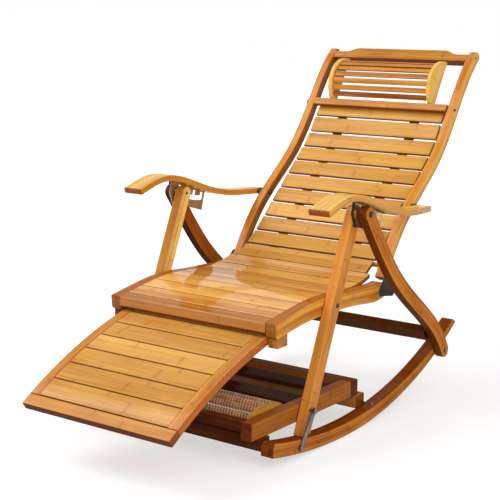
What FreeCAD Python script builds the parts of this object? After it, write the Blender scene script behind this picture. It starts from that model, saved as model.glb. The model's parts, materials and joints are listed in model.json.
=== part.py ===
import FreeCAD
import Part
import math
import os

# Bamboo rocking chaise longue: folding frame, reclining back, footrest that slides in an arc
# under the seat, and a foot massager between the rockers. Millimetres. The sitter looks along -Y,
# +X is the sitter's left, +Z is up and Z = 0 is the floor.

os.makedirs("parts", exist_ok=True)
V = FreeCAD.Vector

# Driving widths, from the middle of the chair outwards
SEAT_WIDTH = 500.0
LANE_GAP = 1.0
RUNNING_GAP = 0.05
SEAT_GAP = 0.3
SEAT_RAIL_W = 29.0
BACK_RAIL_W = 24.0
FRONT_LEG_W = 25.0
REAR_LEG_W = 24.0
ROCKER_W = 36.0
BACK_INSET = 10.0
ARM_W = 60.0

# Driving sizes of the side profile: pivots as (Y, Z)
TOP_BOLT = (356.0, 538.0)
ROCKER_BOLT = (748.0, 118.0)
SEAT_PIVOT = (271.0, 328.0)
BACK_PIVOT = (556.0, 344.0)
ARM_PIVOT = (676.0, 506.0)
LEG_FOOT = (144.0, 41.0)
ROCKER_LOW_Y = 290.0
ROCKER_END_Y = 851.0
ROCKER_DEEP = 31.5
ROCKER_TOP_R = 1250.0
FOOTREST_TOP = (350.0, 320.7)
FOOTREST_RADIUS = 1157.0
FOOTREST_FRONT_AT = 663.76
FOOTREST_REAR_AT = 252.0
TOP_RAIL_AT = (994.4, 868.9)
MIDDLE_RAIL_AT = (887.6, 739.5)

# Turns about +X that the comb run has to follow: the back's recline with the armrest's share of
# it, and the seat, back and armrest joints over the whole fold
RECLINE_DEG = 28.0
ARM_RATIO = -0.90
FOLD_SEAT_DEG = -82.45
FOLD_BACK_DEG = 87.11
FOLD_ARM_DEG = -76.33

# Stock
LEG_DEPTH = 34.0
REAR_LEG_DEPTH = 37.0
BACK_RAIL_DEPTH = 25.0
SLAT_T = 9.0
SEAT_SLAT_T = 11.0
FOOTREST_T = 20.0
FOOTREST_RAIL_W = 28.0
PLATE_T = 2.0
FLANGE_T = 2.4
BOLT_R = 4.0
SMALL_BOLT_R = 3.5
COLLAR_R = 10.0
NUT_R = 7.0
NUT_T = 5.0
SCREW_R = 2.0
WEB_T = 1.6

# Lanes worked out from the widths
RAIL_OUT = SEAT_WIDTH / 2
RAIL_IN = RAIL_OUT - SEAT_RAIL_W
BACK_OUT = RAIL_OUT - BACK_INSET
BACK_IN = BACK_OUT - BACK_RAIL_W
ROCKER_IN = RAIL_OUT + LANE_GAP
ROCKER_OUT = ROCKER_IN + ROCKER_W
LEG_IN = ROCKER_IN + 0.5
LEG_OUT = LEG_IN + FRONT_LEG_W
REAR_IN = ROCKER_OUT + 0.5
REAR_OUT = REAR_IN + REAR_LEG_W
COMB_IN = LEG_OUT + 1.5
COMB_OUT = REAR_IN - 1.5
ARM_IN = RAIL_OUT + 2.0
ARM_OUT = ARM_IN + ARM_W
SLAT_HALF = BACK_IN - 12.0
FOOTREST_CENTRE = (FOOTREST_TOP[0], FOOTREST_TOP[1] - FOOTREST_RADIUS)


def spline(points):
    """Edge through (Y, Z) points in the plane X = 0."""
    curve = Part.BSplineCurve()
    curve.interpolate([V(0, y, z) for y, z in points])
    return curve


def offset_points(points, distance):
    """Points moved sideways from their curve, to the left of its direction."""
    curve = spline(points)
    moved = []
    for y, z in points:
        tangent = curve.tangent(curve.parameter(V(0, y, z)))[0]
        moved.append((y - tangent.z * distance, z + tangent.y * distance))
    return moved


def extrude(edges, x0, x1):
    """Closed outline in the plane X = 0 made solid between two X values."""
    face = Part.Face(Part.Wire(edges))
    face.translate(V(x0, 0, 0))
    return face.extrude(V(x1 - x0, 0, 0))


def line(a, b):
    return Part.makeLine(V(0, a[0], a[1]), V(0, b[0], b[1]))


def arc(a, b, c):
    return Part.Arc(V(0, *a), V(0, *b), V(0, *c)).toShape()


def polygon(points, x0, x1):
    """Straight sided outline of (Y, Z) points, extruded along X."""
    wire = Part.makePolygon([V(0, y, z) for y, z in points + points[:1]])
    face = Part.Face(wire)
    face.translate(V(x0, 0, 0))
    return face.extrude(V(x1 - x0, 0, 0))


def bent_bar(points, left, right, x0, x1, round_start=False, round_end=False):
    """Bar of constant depth along a curve, with square or rounded ends."""
    a = offset_points(points, left)
    b = offset_points(points, -right)
    edges = [spline(a).toShape()]
    for rounded, p, q, at in ((round_end, a[-1], b[-1], -1), (round_start, b[0], a[0], 0)):
        if rounded:
            curve = spline(points)
            tangent = curve.tangent(curve.parameter(V(0, *points[at])))[0]
            way = 1 if at == -1 else -1
            reach = way * (left + right) / 2
            middle = ((p[0] + q[0]) / 2 + tangent.y * reach, (p[1] + q[1]) / 2 + tangent.z * reach)
            end = arc(p, middle, q)
        else:
            end = line(p, q)
        edges.append(end)
        if at == -1:
            edges.append(spline(b[::-1]).toShape())
    return extrude(edges, x0, x1)


def rod(centre, radius, x0, x1):
    """Round bar along X."""
    y, z = centre
    return Part.makeCylinder(radius, abs(x1 - x0), V(min(x0, x1), y, z), V(1, 0, 0))


def bolt(centre, radius, x_in, x_out):
    """Shank with a domed head at the outer end, for the side where X is positive."""
    shape = rod(centre, radius, x_in, x_out)
    flange = rod(centre, radius * 1.8, x_out, x_out + 2.0)
    cap = Part.makeSphere(radius * 2.4, V(x_out - radius * 1.1, *centre))
    keep = rod(centre, radius * 1.5, x_out + 1.0, x_out + radius * 1.2)
    return shape.fuse(flange).fuse(cap.common(keep)).removeSplitter()


def collar_bolt(centre, x_out, gap_out):
    """Pivot bolt of the back rail: a nut inside, and a collar that fills the gap outside the rail."""
    shape = rod(centre, SMALL_BOLT_R, BACK_IN - SEAT_GAP - NUT_T, x_out)
    nut = rod(centre, NUT_R, BACK_IN - SEAT_GAP - NUT_T, BACK_IN - SEAT_GAP)
    collar = rod(centre, COLLAR_R, BACK_OUT + SEAT_GAP, gap_out - SEAT_GAP)
    return shape.fuse(nut).fuse(collar).removeSplitter()


def box(x0, x1, y0, y1, z0, z1):
    return Part.makeBox(x1 - x0, y1 - y0, z1 - z0, V(x0, y0, z0))


def mirrored(shape):
    return shape.mirror(V(0, 0, 0), V(1, 0, 0))


def edges_at(shape, point, count):
    """The edges along X that run nearest to a point (Y, Z)."""
    def distance(edge):
        return math.hypot(edge.CenterOfMass.y - point[0], edge.CenterOfMass.z - point[1])

    level = [e for e in shape.Edges if e.BoundBox.XLength > 2 * max(e.BoundBox.YLength, e.BoundBox.ZLength)]
    return sorted(level, key=distance)[:count]


def unit(a, b):
    length = math.hypot(b[0] - a[0], b[1] - a[1])
    return ((b[0] - a[0]) / length, (b[1] - a[1]) / length)


def spin(point, centre, degrees):
    """Point (Y, Z) turned about a centre."""
    s = math.sin(math.radians(degrees))
    c = math.cos(math.radians(degrees))
    y = point[0] - centre[0]
    z = point[1] - centre[1]
    return (centre[0] + y * c - z * s, centre[1] + y * s + z * c)


NODES = {}


def add(name, shapes):
    """Keeps a node: one solid, or a group of identical separate solids."""
    if not isinstance(shapes, (list, tuple)):
        shapes = [shapes]
    solids = []
    for shape in shapes:
        solids.extend(shape.Solids)
    NODES[name] = solids


def add_pair(name, shape):
    """Keeps a piece for the sitter's left (+X) and its mirror for the right."""
    add(name + "_left", shape)
    add(name + "_right", mirrored(shape))


# Side profile lines

SEAT_TOP = [(57, 321), (158, 338), (240, 346), (341, 341), (432, 337.5), (490, 336.5), (516, 338)]
SEAT_SURFACE = [(57, 321), (158, 338), (240, 346), (341, 342), (416, 340), (440, 342), (470, 347), (506, 358)]
SEAT_BOTTOM = [(60, 283), (102, 290), (206, 302), (312, 303), (415, 298), (488, 292), (538, 300)]
BACK_FRONT = [(536.5, 342), (572, 402), (628, 473), (710, 546),
              (800, 621), (873, 710), (950, 821), (1022, 896)]
SLING = [(512.5, 356.5), (549.5, 380.5), (594, 412.5), (660, 473), (727, 535),
         (796, 599), (859, 664), (886, 706), (919, 739)]
REAR_LEG = [TOP_BOLT, (433, 430), (492, 360), (597, 271), (688, 197), ROCKER_BOLT]
ARM_TOP = [(177, 568), (218, 581), (275, 592), (337, 585),
           (444, 549), (531, 527), (600, 519), (693, 513)]
ARM_THICK = 16.0


def rocker():
    """Curved runner: two floor arcs and two top arcs that all touch level at the low point."""
    def level_arc(radius, bottom, y):
        return bottom + radius - math.sqrt(radius * radius - (y - ROCKER_LOW_Y) ** 2)

    floor_front = 1417.0
    floor_rear = 1000.0
    top_rear = 1062.0
    end_top_y = ROCKER_END_Y - 15.0
    low = (ROCKER_LOW_Y, 0.0)
    high = (ROCKER_LOW_Y, ROCKER_DEEP)
    nose = (0.0, level_arc(floor_front, 0.0, 0.0))
    nose_top = (0.0, 48.0)
    bevel = (6.0, level_arc(ROCKER_TOP_R, ROCKER_DEEP, 6.0))
    tail = (ROCKER_END_Y, level_arc(floor_rear, 0.0, ROCKER_END_Y))
    tail_top = (end_top_y, level_arc(top_rear, ROCKER_DEEP, end_top_y))

    def along(radius, bottom, a, b):
        middle = (a[0] + b[0]) / 2
        return arc(a, (middle, level_arc(radius, bottom, middle)), b)

    edges = [
        along(floor_front, 0.0, nose, low),
        along(floor_rear, 0.0, low, tail),
        line(tail, tail_top),
        along(top_rear, ROCKER_DEEP, tail_top, high),
        along(ROCKER_TOP_R, ROCKER_DEEP, high, bevel),
        line(bevel, nose_top),
        line(nose_top, nose),
    ]
    shape = extrude(edges, ROCKER_IN, ROCKER_OUT)
    return shape.cut(rod(ROCKER_BOLT, BOLT_R, ROCKER_IN - 1, ROCKER_OUT + 1))


def rocker_top_z(y):
    """Height of the rocker's upper face in front of its low point."""
    return ROCKER_DEEP + ROCKER_TOP_R - math.sqrt(ROCKER_TOP_R ** 2 - (y - ROCKER_LOW_Y) ** 2)


# Base: rockers, crossbars and foot massager

BEAM_W = 32.0
BEAM_Z0 = 68.0
BEAM_Z1 = 110.0
BEAM_IN = RAIL_OUT - 2.0 - BEAM_W
BEAM_OUT = BEAM_IN + BEAM_W
BEAM_Y0 = -29.0
BEAM_Y1 = 381.0
CROSS_FRONT = (1.0, 36.0)
CROSS_FRONT_Z0 = 38.0
CROSS_REAR = (398.0, 440.0)
CROSS_REAR_Z0 = 36.0
REAR_BAR_Y1 = 413.0
CHEEK_X = BEAM_IN - 16.0
CHEEK_T = 9.0
ROLLER_ROWS = [(34.0, 101.0), (58.0, 110.0), (85.0, 112.5), (113.0, 111.0)]
ROLLER_R = 9.0
ROLLER_CORE_R = 6.5
ROLLER_BEADS = 24
AXLE_R = 2.5
LATCH_PIVOT = (105.0, 26.0)
LATCH_STUD = (160.0, 100.0)
LATCH_T = 2.5

add_pair("rocker", rocker())
add("base_crossbar_front",
    box(-ROCKER_IN, ROCKER_IN, CROSS_FRONT[0], CROSS_FRONT[1], CROSS_FRONT_Z0, BEAM_Z0))
add("base_crossbar_rear",
    box(-ROCKER_IN, ROCKER_IN, CROSS_REAR[0], CROSS_REAR[1], CROSS_REAR_Z0, BEAM_Z0))

beam = box(BEAM_IN, BEAM_OUT, BEAM_Y0, BEAM_Y1, BEAM_Z0, BEAM_Z1)
beam = beam.makeFillet(4.0, [e for e in beam.Edges if e.BoundBox.YLength > (BEAM_Y1 - BEAM_Y0) / 2])
add_pair("massage_beam", beam)
rear_bar = box(-BEAM_OUT, BEAM_OUT, BEAM_Y1, REAR_BAR_Y1, BEAM_Z0, BEAM_Z1)
rear_bar = rear_bar.makeFillet(4.0, [e for e in rear_bar.Edges if e.BoundBox.XLength > BEAM_IN])
add("massage_rear_bar", rear_bar)
front_bar = box(-BEAM_IN, BEAM_IN, BEAM_Y0 + 1, BEAM_Y0 + 29, BEAM_Z0 + 6, BEAM_Z1)
front_bar = front_bar.makeFillet(6.0, [e for e in front_bar.Edges if e.BoundBox.XLength > BEAM_IN])
add("massage_front_bar", front_bar)
add("massage_board", box(-BEAM_IN, BEAM_IN, 170.0, 232.0, 92.0, 104.0))
add("massage_rear_slat", box(-BEAM_IN, BEAM_IN, 300.0, 352.0, 92.0, 104.0))

cheek_edges = [
    line((8, 80), (8, 92)),
    arc((8, 92), (34, 113), (85, 121)),
    arc((85, 121), (128, 115), (156, 96)),
    line((156, 96), (156, 80)),
    line((156, 80), (8, 80)),
]
cheek = extrude(cheek_edges, CHEEK_X, CHEEK_X + CHEEK_T)
spacer = box(CHEEK_X + CHEEK_T, BEAM_IN, 20.0, 144.0, 84.0, 100.0)
cheek = cheek.fuse(spacer)
for row in ROLLER_ROWS:
    cheek = cheek.cut(rod(row, AXLE_R, CHEEK_X - 1, CHEEK_X + 5.0))
cheek = cheek.removeSplitter()
add("massage_cheeks", [cheek, mirrored(cheek)])
add("massage_axles", [rod(row, AXLE_R, -CHEEK_X - 5.0, CHEEK_X + 5.0) for row in ROLLER_ROWS])


def bead_roller(row):
    """Turned roller: rounded beads side by side on a bored core."""
    half = CHEEK_X - SEAT_GAP
    pitch = 2 * half / ROLLER_BEADS
    edges = [Part.makeLine(V(-half, 0, AXLE_R + RUNNING_GAP), V(-half, 0, ROLLER_CORE_R))]
    for i in range(ROLLER_BEADS):
        x = -half + i * pitch
        a = V(x, 0, ROLLER_CORE_R)
        b = V(x + pitch / 2, 0, ROLLER_R)
        c = V(x + pitch, 0, ROLLER_CORE_R)
        edges.append(Part.Arc(a, b, c).toShape())
    edges.append(Part.makeLine(V(half, 0, ROLLER_CORE_R), V(half, 0, AXLE_R + RUNNING_GAP)))
    edges.append(Part.makeLine(V(half, 0, AXLE_R + RUNNING_GAP), V(-half, 0, AXLE_R + RUNNING_GAP)))
    shape = Part.Face(Part.Wire(edges)).revolve(V(0, 0, 0), V(1, 0, 0), 360)
    shape.translate(V(0, row[0], row[1]))
    return shape


for number, row in enumerate(ROLLER_ROWS, 1):
    add("massage_roller_%d" % number, bead_roller(row))

# Latch straps: pivot on the rocker, hook round a stud on the front leg
latch_x = ROCKER_OUT + SEAT_GAP
reach = unit(LATCH_PIVOT, LATCH_STUD)
strap_len = math.hypot(LATCH_STUD[0] - LATCH_PIVOT[0], LATCH_STUD[1] - LATCH_PIVOT[1])
strap_deg = math.degrees(math.atan2(reach[1], reach[0]))
strap = box(latch_x, latch_x + LATCH_T, 0, strap_len, -7, 7)
strap = strap.fuse(rod((0, 0), 8.0, latch_x, latch_x + LATCH_T))
strap = strap.fuse(rod((strap_len, 0), 8.5, latch_x, latch_x + LATCH_T))
strap = strap.cut(rod((0, 0), SMALL_BOLT_R + RUNNING_GAP, latch_x - 1, latch_x + 5))
strap = strap.cut(rod((strap_len, 0), 5.3, latch_x - 1, latch_x + 5))
strap = strap.cut(box(latch_x - 1, latch_x + 5, strap_len - 5.3, strap_len + 5.3, -20, 0))
strap = strap.removeSplitter()
strap.rotate(V(0, 0, 0), V(1, 0, 0), strap_deg)
strap.translate(V(0, *LATCH_PIVOT))
add_pair("latch_strap", strap)
latch_bolt = bolt(LATCH_PIVOT, SMALL_BOLT_R, ROCKER_OUT - 12.0, latch_x + LATCH_T + SEAT_GAP)
add("latch_pivot_bolts", [latch_bolt, mirrored(latch_bolt)])
for number, name in enumerate(("rocker_left", "rocker_right")):
    NODES[name] = [s.cut(NODES["latch_pivot_bolts"][number]) for s in NODES[name]]

# Rear legs
rear_leg = bent_bar(REAR_LEG, REAR_LEG_DEPTH / 2, REAR_LEG_DEPTH / 2, REAR_IN, REAR_OUT, True, True)
rear_leg = rear_leg.cut(rod(TOP_BOLT, BOLT_R, REAR_IN - 1, REAR_OUT + 1))
rear_leg = rear_leg.cut(rod(ROCKER_BOLT, BOLT_R + RUNNING_GAP, REAR_IN - 1, REAR_OUT + 1))
add_pair("rear_leg", rear_leg)
CROSSBAR_CENTRE = (690.0, 174.0)
crossbar = box(-REAR_IN, REAR_IN, -12.0, 12.0, -17.5, 17.5)
crossbar = crossbar.makeFillet(3.0, [e for e in crossbar.Edges if e.BoundBox.XLength > BEAM_IN])
crossbar.rotate(V(0, 0, 0), V(1, 0, 0), 35.0)
crossbar.translate(V(0, *CROSSBAR_CENTRE))
add("rear_leg_crossbar", crossbar)

# Front legs: straight bars that stand on the rockers
way = unit(TOP_BOLT, LEG_FOOT)
across = (-way[1], way[0])
half_leg = LEG_DEPTH / 2


def on_leg(start, down, out):
    """Point (Y, Z) measured down the leg from a start point, and across it."""
    return (start[0] + way[0] * down + across[0] * out, start[1] + way[1] * down + across[1] * out)


front_edges = [
    arc(on_leg(TOP_BOLT, 0, half_leg), on_leg(TOP_BOLT, -half_leg, 0), on_leg(TOP_BOLT, 0, -half_leg)),
    line(on_leg(TOP_BOLT, 0, -half_leg), on_leg(LEG_FOOT, LEG_DEPTH, -half_leg)),
    line(on_leg(LEG_FOOT, LEG_DEPTH, -half_leg), on_leg(LEG_FOOT, LEG_DEPTH, half_leg)),
    line(on_leg(LEG_FOOT, LEG_DEPTH, half_leg), on_leg(TOP_BOLT, 0, half_leg)),
]
front_leg = extrude(front_edges, LEG_IN, LEG_OUT)
foot_z = rocker_top_z(LEG_FOOT[0] - half_leg) + SEAT_GAP
front_leg = front_leg.cut(box(LEG_IN - 5, LEG_OUT + 5, 0, 400, -50, foot_z))
front_leg = front_leg.cut(rod(TOP_BOLT, BOLT_R + RUNNING_GAP, LEG_IN - 1, LEG_OUT + 1))
front_leg = front_leg.cut(rod(SEAT_PIVOT, SMALL_BOLT_R, LEG_IN - 1, LEG_OUT + 1))
stud = rod(LATCH_STUD, 4.0, LEG_OUT - 10.0, latch_x + LATCH_T + SEAT_GAP)
stud = stud.fuse(rod(LATCH_STUD, 7.0, latch_x + LATCH_T + SEAT_GAP, latch_x + LATCH_T + SEAT_GAP + 2.5))
front_leg = front_leg.cut(stud)
add_pair("front_leg", front_leg)
add("latch_studs", [stud, mirrored(stud)])

# Top bolts, rocker bolts and seat pivot bolts
top_bolt = bolt(TOP_BOLT, BOLT_R, LEG_IN + 1.0, REAR_OUT)
add("top_bolts", [top_bolt, mirrored(top_bolt)])
rocker_bolt = bolt(ROCKER_BOLT, BOLT_R, ROCKER_IN, REAR_OUT + SEAT_GAP)
add("rocker_bolts", [rocker_bolt, mirrored(rocker_bolt)])
seat_bolt = rod(SEAT_PIVOT, SMALL_BOLT_R, RAIL_IN + 4.0, LEG_OUT)
seat_bolt = seat_bolt.fuse(rod(SEAT_PIVOT, SMALL_BOLT_R * 1.7, LEG_OUT, LEG_OUT + 1.2))
add("seat_pivot_bolts", [seat_bolt, mirrored(seat_bolt)])

# Seat
rail_edges = [spline(SEAT_TOP).toShape()]
rail_edges.append(line(SEAT_TOP[-1], SEAT_BOTTOM[-1]))
rail_edges.append(spline(SEAT_BOTTOM[::-1]).toShape())
rail_edges.append(line(SEAT_BOTTOM[0], SEAT_TOP[0]))
seat_body = extrude(rail_edges, RAIL_IN, RAIL_OUT)
seat_rail = seat_body.makeFillet(10.0, edges_at(seat_body, SEAT_BOTTOM[0], 1))
groove = bent_bar([(40, 300), (158, 318), (240, 324), (341, 322), (454, 315), (530, 315)],
                  1.2, 1.2, RAIL_OUT - 1.5, RAIL_OUT + 1)
seat_rail = seat_rail.cut(groove)
PLATE_X = RAIL_OUT - 3.0
plate_edges = [
    line((504, 303), (504, 325)),
    line((504, 325), (546, 352)),
    arc((546, 352), (559, 356.5), (568, 346)),
    line((568, 346), (579, 305)),
    arc((579, 305), (575, 294), (564, 293)),
    line((564, 293), (504, 303)),
]
hinge_plate = extrude(plate_edges, PLATE_X, RAIL_OUT)
seat_rail = seat_rail.cut(hinge_plate)
hinge_plate = hinge_plate.cut(rod(BACK_PIVOT, SMALL_BOLT_R + RUNNING_GAP, PLATE_X - 1, RAIL_OUT + 1))
seat_rail = seat_rail.cut(rod(SEAT_PIVOT, SMALL_BOLT_R + RUNNING_GAP, RAIL_IN + 4.0, RAIL_OUT + 1))
add_pair("seat_rail", seat_rail)
add("hinge_plates", [hinge_plate, mirrored(hinge_plate)])

arc_clear = Part.makeCylinder(FOOTREST_RADIUS + 2.5, 600, V(-300, *FOOTREST_CENTRE), V(1, 0, 0))
FRONT_BAR_D = 30.0
bullnose = [
    line((57, 291), (57, 316)),
    arc((57, 316), (59, 320.5), (63, 322)),
    line((63, 322), (57 + FRONT_BAR_D, 326)),
    line((57 + FRONT_BAR_D, 326), (57 + FRONT_BAR_D, 288)),
    line((57 + FRONT_BAR_D, 288), (61, 286)),
    arc((61, 286), (58, 287.5), (57, 291)),
]
seat_front = extrude(bullnose, -RAIL_IN, RAIL_IN).cut(arc_clear)
add("seat_front_bar", seat_front)

SEAT_SLATS = 8
SEAT_SLAT_GAP = 2.0
seat_slats = []
start_y = 57 + FRONT_BAR_D + SEAT_SLAT_GAP
end_y = SEAT_SURFACE[-1][0]
pitch = (end_y - start_y + SEAT_SLAT_GAP) / SEAT_SLATS
sheet = bent_bar(SEAT_SURFACE, -0.4, SEAT_SLAT_T, -RAIL_IN, RAIL_IN)
for i in range(SEAT_SLATS):
    y0 = start_y + i * pitch
    cutter = box(-300, 300, y0, y0 + pitch - SEAT_SLAT_GAP, 250, 400)
    seat_slats.append(sheet.common(cutter))
add("seat_slats", seat_slats)
add("seat_rear_bar", box(-RAIL_IN, RAIL_IN, 470.0, 512.0, 296.0, 320.0))

# Footrest: everything lies between two arcs about one centre


def ring_part(radius, thick, deg_front, deg_rear, x0, x1):
    """Piece of a ring about the footrest's centre; degrees are measured forward from the top."""
    cy, cz = FOOTREST_CENTRE

    def at(r, deg):
        a = math.radians(deg)
        return (cy - r * math.sin(a), cz + r * math.cos(a))

    middle = (deg_front + deg_rear) / 2
    inner = radius - thick
    edges = [
        arc(at(radius, deg_front), at(radius, middle), at(radius, deg_rear)),
        line(at(radius, deg_rear), at(inner, deg_rear)),
        arc(at(inner, deg_rear), at(inner, middle), at(inner, deg_front)),
        line(at(inner, deg_front), at(radius, deg_front)),
    ]
    return extrude(edges, x0, x1)


def degrees_of(length):
    return math.degrees(length / FOOTREST_RADIUS)


foot_out = RAIL_IN - 1.5
foot_in = foot_out - FOOTREST_RAIL_W
foot_front = degrees_of(FOOTREST_FRONT_AT)
foot_rear = degrees_of(FOOTREST_REAR_AT)
bar_deg = degrees_of(32.0)
add_pair("footrest_rail",
         ring_part(FOOTREST_RADIUS, FOOTREST_T, foot_front - bar_deg, foot_rear, foot_in, foot_out))
add("footrest_front_bar",
    ring_part(FOOTREST_RADIUS, FOOTREST_T, foot_front, foot_front - bar_deg, -foot_out, foot_out))
add("footrest_rear_bar",
    ring_part(FOOTREST_RADIUS, FOOTREST_T, foot_rear + bar_deg, foot_rear, -foot_in, foot_in))
FOOT_SLATS = 6
slat_gap_deg = degrees_of(2.0)
span = foot_front - foot_rear - 2 * bar_deg
slat_pitch = (span - slat_gap_deg) / FOOT_SLATS
foot_slats = []
for i in range(FOOT_SLATS):
    rear = foot_rear + bar_deg + slat_gap_deg + i * slat_pitch
    front = rear + slat_pitch - slat_gap_deg
    foot_slats.append(ring_part(FOOTREST_RADIUS, 10.0, front, rear, -foot_in, foot_in))
add("footrest_slats", foot_slats)

# The guide blocks' pins carry the rails' undersides
PIN_R = 3.5
PIN_Y = 90.0
pin_path = FOOTREST_RADIUS - FOOTREST_T - PIN_R - SEAT_GAP
pin_z = FOOTREST_CENTRE[1] + math.sqrt(pin_path ** 2 - (PIN_Y - FOOTREST_CENTRE[0]) ** 2)
guide_pin = rod((PIN_Y, pin_z), PIN_R, foot_in + 4.0, RAIL_OUT - 6.0)
add("footrest_guide_pins", [guide_pin, mirrored(guide_pin)])
guide = box(RAIL_IN + 1, RAIL_OUT - 2, PIN_Y - 22, PIN_Y + 18, pin_z - PIN_R - 1.2, SEAT_BOTTOM[1][1] + 2)
guide = guide.cut(seat_body).cut(guide_pin)
add("footrest_guide_blocks", [guide, mirrored(guide)])

# Back frame
back_rail = bent_bar(BACK_FRONT, 0.0, BACK_RAIL_DEPTH, BACK_IN, BACK_OUT, False, False)
back_rail = back_rail.makeFillet(9.0, edges_at(back_rail, BACK_FRONT[-1], 2))
back_rail = back_rail.cut(rod(BACK_PIVOT, SMALL_BOLT_R + RUNNING_GAP, BACK_IN - 1, BACK_OUT + 1))
back_rail = back_rail.cut(rod(ARM_PIVOT, SMALL_BOLT_R + RUNNING_GAP, BACK_IN - 1, BACK_OUT + 1))
add_pair("back_rail", back_rail)


def place_on_back(y, z, along, thick, tip, x0, x1):
    """Board across the back: front lower corner at (Y, Z), its height laid along a slope."""
    shape = box(x0, x1, 0.0, thick, 0.0, along)
    shape.rotate(V(0, 0, 0), V(1, 0, 0), -tip)
    shape.translate(V(0, y, z))
    return shape


MID_TIP = math.degrees(math.atan2(12, 20))
TOP_TIP = math.degrees(math.atan2(BACK_FRONT[-1][0] - BACK_FRONT[-2][0],
                                  BACK_FRONT[-1][1] - BACK_FRONT[-2][1]))
MIDDLE_RAIL_H = 20.8
middle_rail = place_on_back(*MIDDLE_RAIL_AT, MIDDLE_RAIL_H, 16.0, MID_TIP, -BACK_IN, BACK_IN)
add("back_middle_rail", middle_rail)
CROWN_LOW = 24.5
CROWN_HIGH = 37.5
crown_edges = [
    Part.makeLine(V(-BACK_IN, 0, 0), V(BACK_IN, 0, 0)),
    Part.makeLine(V(BACK_IN, 0, 0), V(BACK_IN, 0, CROWN_LOW)),
    Part.makeLine(V(BACK_IN, 0, CROWN_LOW), V(182, 0, CROWN_LOW)),
    Part.Arc(V(182, 0, CROWN_LOW), V(170, 0, CROWN_LOW + 2), V(160, 0, CROWN_LOW + 6.5)).toShape(),
    Part.Arc(V(160, 0, CROWN_LOW + 6.5), V(151, 0, CROWN_HIGH - 2), V(140, 0, CROWN_HIGH)).toShape(),
    Part.makeLine(V(140, 0, CROWN_HIGH), V(-140, 0, CROWN_HIGH)),
    Part.Arc(V(-140, 0, CROWN_HIGH), V(-151, 0, CROWN_HIGH - 2), V(-160, 0, CROWN_LOW + 6.5)).toShape(),
    Part.Arc(V(-160, 0, CROWN_LOW + 6.5), V(-170, 0, CROWN_LOW + 2), V(-182, 0, CROWN_LOW)).toShape(),
    Part.makeLine(V(-182, 0, CROWN_LOW), V(-BACK_IN, 0, CROWN_LOW)),
    Part.makeLine(V(-BACK_IN, 0, CROWN_LOW), V(-BACK_IN, 0, 0)),
]
top_rail = Part.Face(Part.Wire(crown_edges)).extrude(V(0, 21.5, 0))
top_rail.rotate(V(0, 0, 0), V(1, 0, 0), -TOP_TIP)
top_rail.translate(V(0, *TOP_RAIL_AT))
add("back_top_rail", top_rail)

# Hanging slats between the middle rail and the seat, on two webbing straps
BACK_SLATS = 11
BACK_SLAT_GAP = 7.0
sling = spline(SLING)
length = sling.length()
slat_pitch_back = (length + BACK_SLAT_GAP) / BACK_SLATS
back_slats = []
for i in range(BACK_SLATS):
    s0 = i * slat_pitch_back
    points = []
    for k in range(3):
        p = sling.value(sling.parameterAtDistance(s0 + k * (slat_pitch_back - BACK_SLAT_GAP) / 2, 0))
        points.append((p.y, p.z))
    back_slats.append(bent_bar(points, 0.0, SLAT_T, -SLAT_HALF, SLAT_HALF))
add("back_slats", back_slats)
WEB_X = 117.0
WEB_W = 30.0
ANCHOR_R = 6.0
gap_at = sling.parameterAtDistance(slat_pitch_back - BACK_SLAT_GAP / 2, 0)
gap_point = sling.value(gap_at)
gap_way = sling.tangent(gap_at)[0]
anchor_deep = SLAT_T + WEB_T + ANCHOR_R
ANCHOR = (gap_point.y + gap_way.z * anchor_deep, gap_point.z - gap_way.y * anchor_deep)
add("webbing_anchor_bar", rod(ANCHOR, ANCHOR_R, -BACK_IN, BACK_IN))
web_line = offset_points(SLING, -SLAT_T - WEB_T - 0.35)
web = bent_bar(web_line, WEB_T, 0.0, WEB_X - WEB_W / 2, WEB_X + WEB_W / 2)
web = web.cut(rod(ANCHOR, ANCHOR_R, 0, 300))
add("webbing_straps", [web, mirrored(web)])

# Pillow: two cheeks, each less than half a disc, stand on the middle rail with a round of thin
# slats let in between them. PILLOW_C is the middle of a cheek's flat side, and the round's
# centre lies PILLOW_BACK behind it
PILLOW_C = (951.2, 800.8)
PILLOW_R = 75.5
PILLOW_BACK = 16.5
PILLOW_INSET = 6.0
PILLOW_SLAT_T = 5.0
PILLOW_HALF = 165.0
PILLOW_TIP = 59.3
CHEEK_W = 12.0
PILLOW_SLATS = 8
PILLOW_SLAT_DEG = 16.8
PILLOW_SLIT_DEG = 2.2


def to_pillow(shape):
    """Turns a shape drawn with its flat side on the plane Y = 0 onto the pillow's place."""
    shape.rotate(V(0, 0, 0), V(1, 0, 0), PILLOW_TIP - 90)
    shape.translate(V(0, *PILLOW_C))
    return shape


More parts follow.
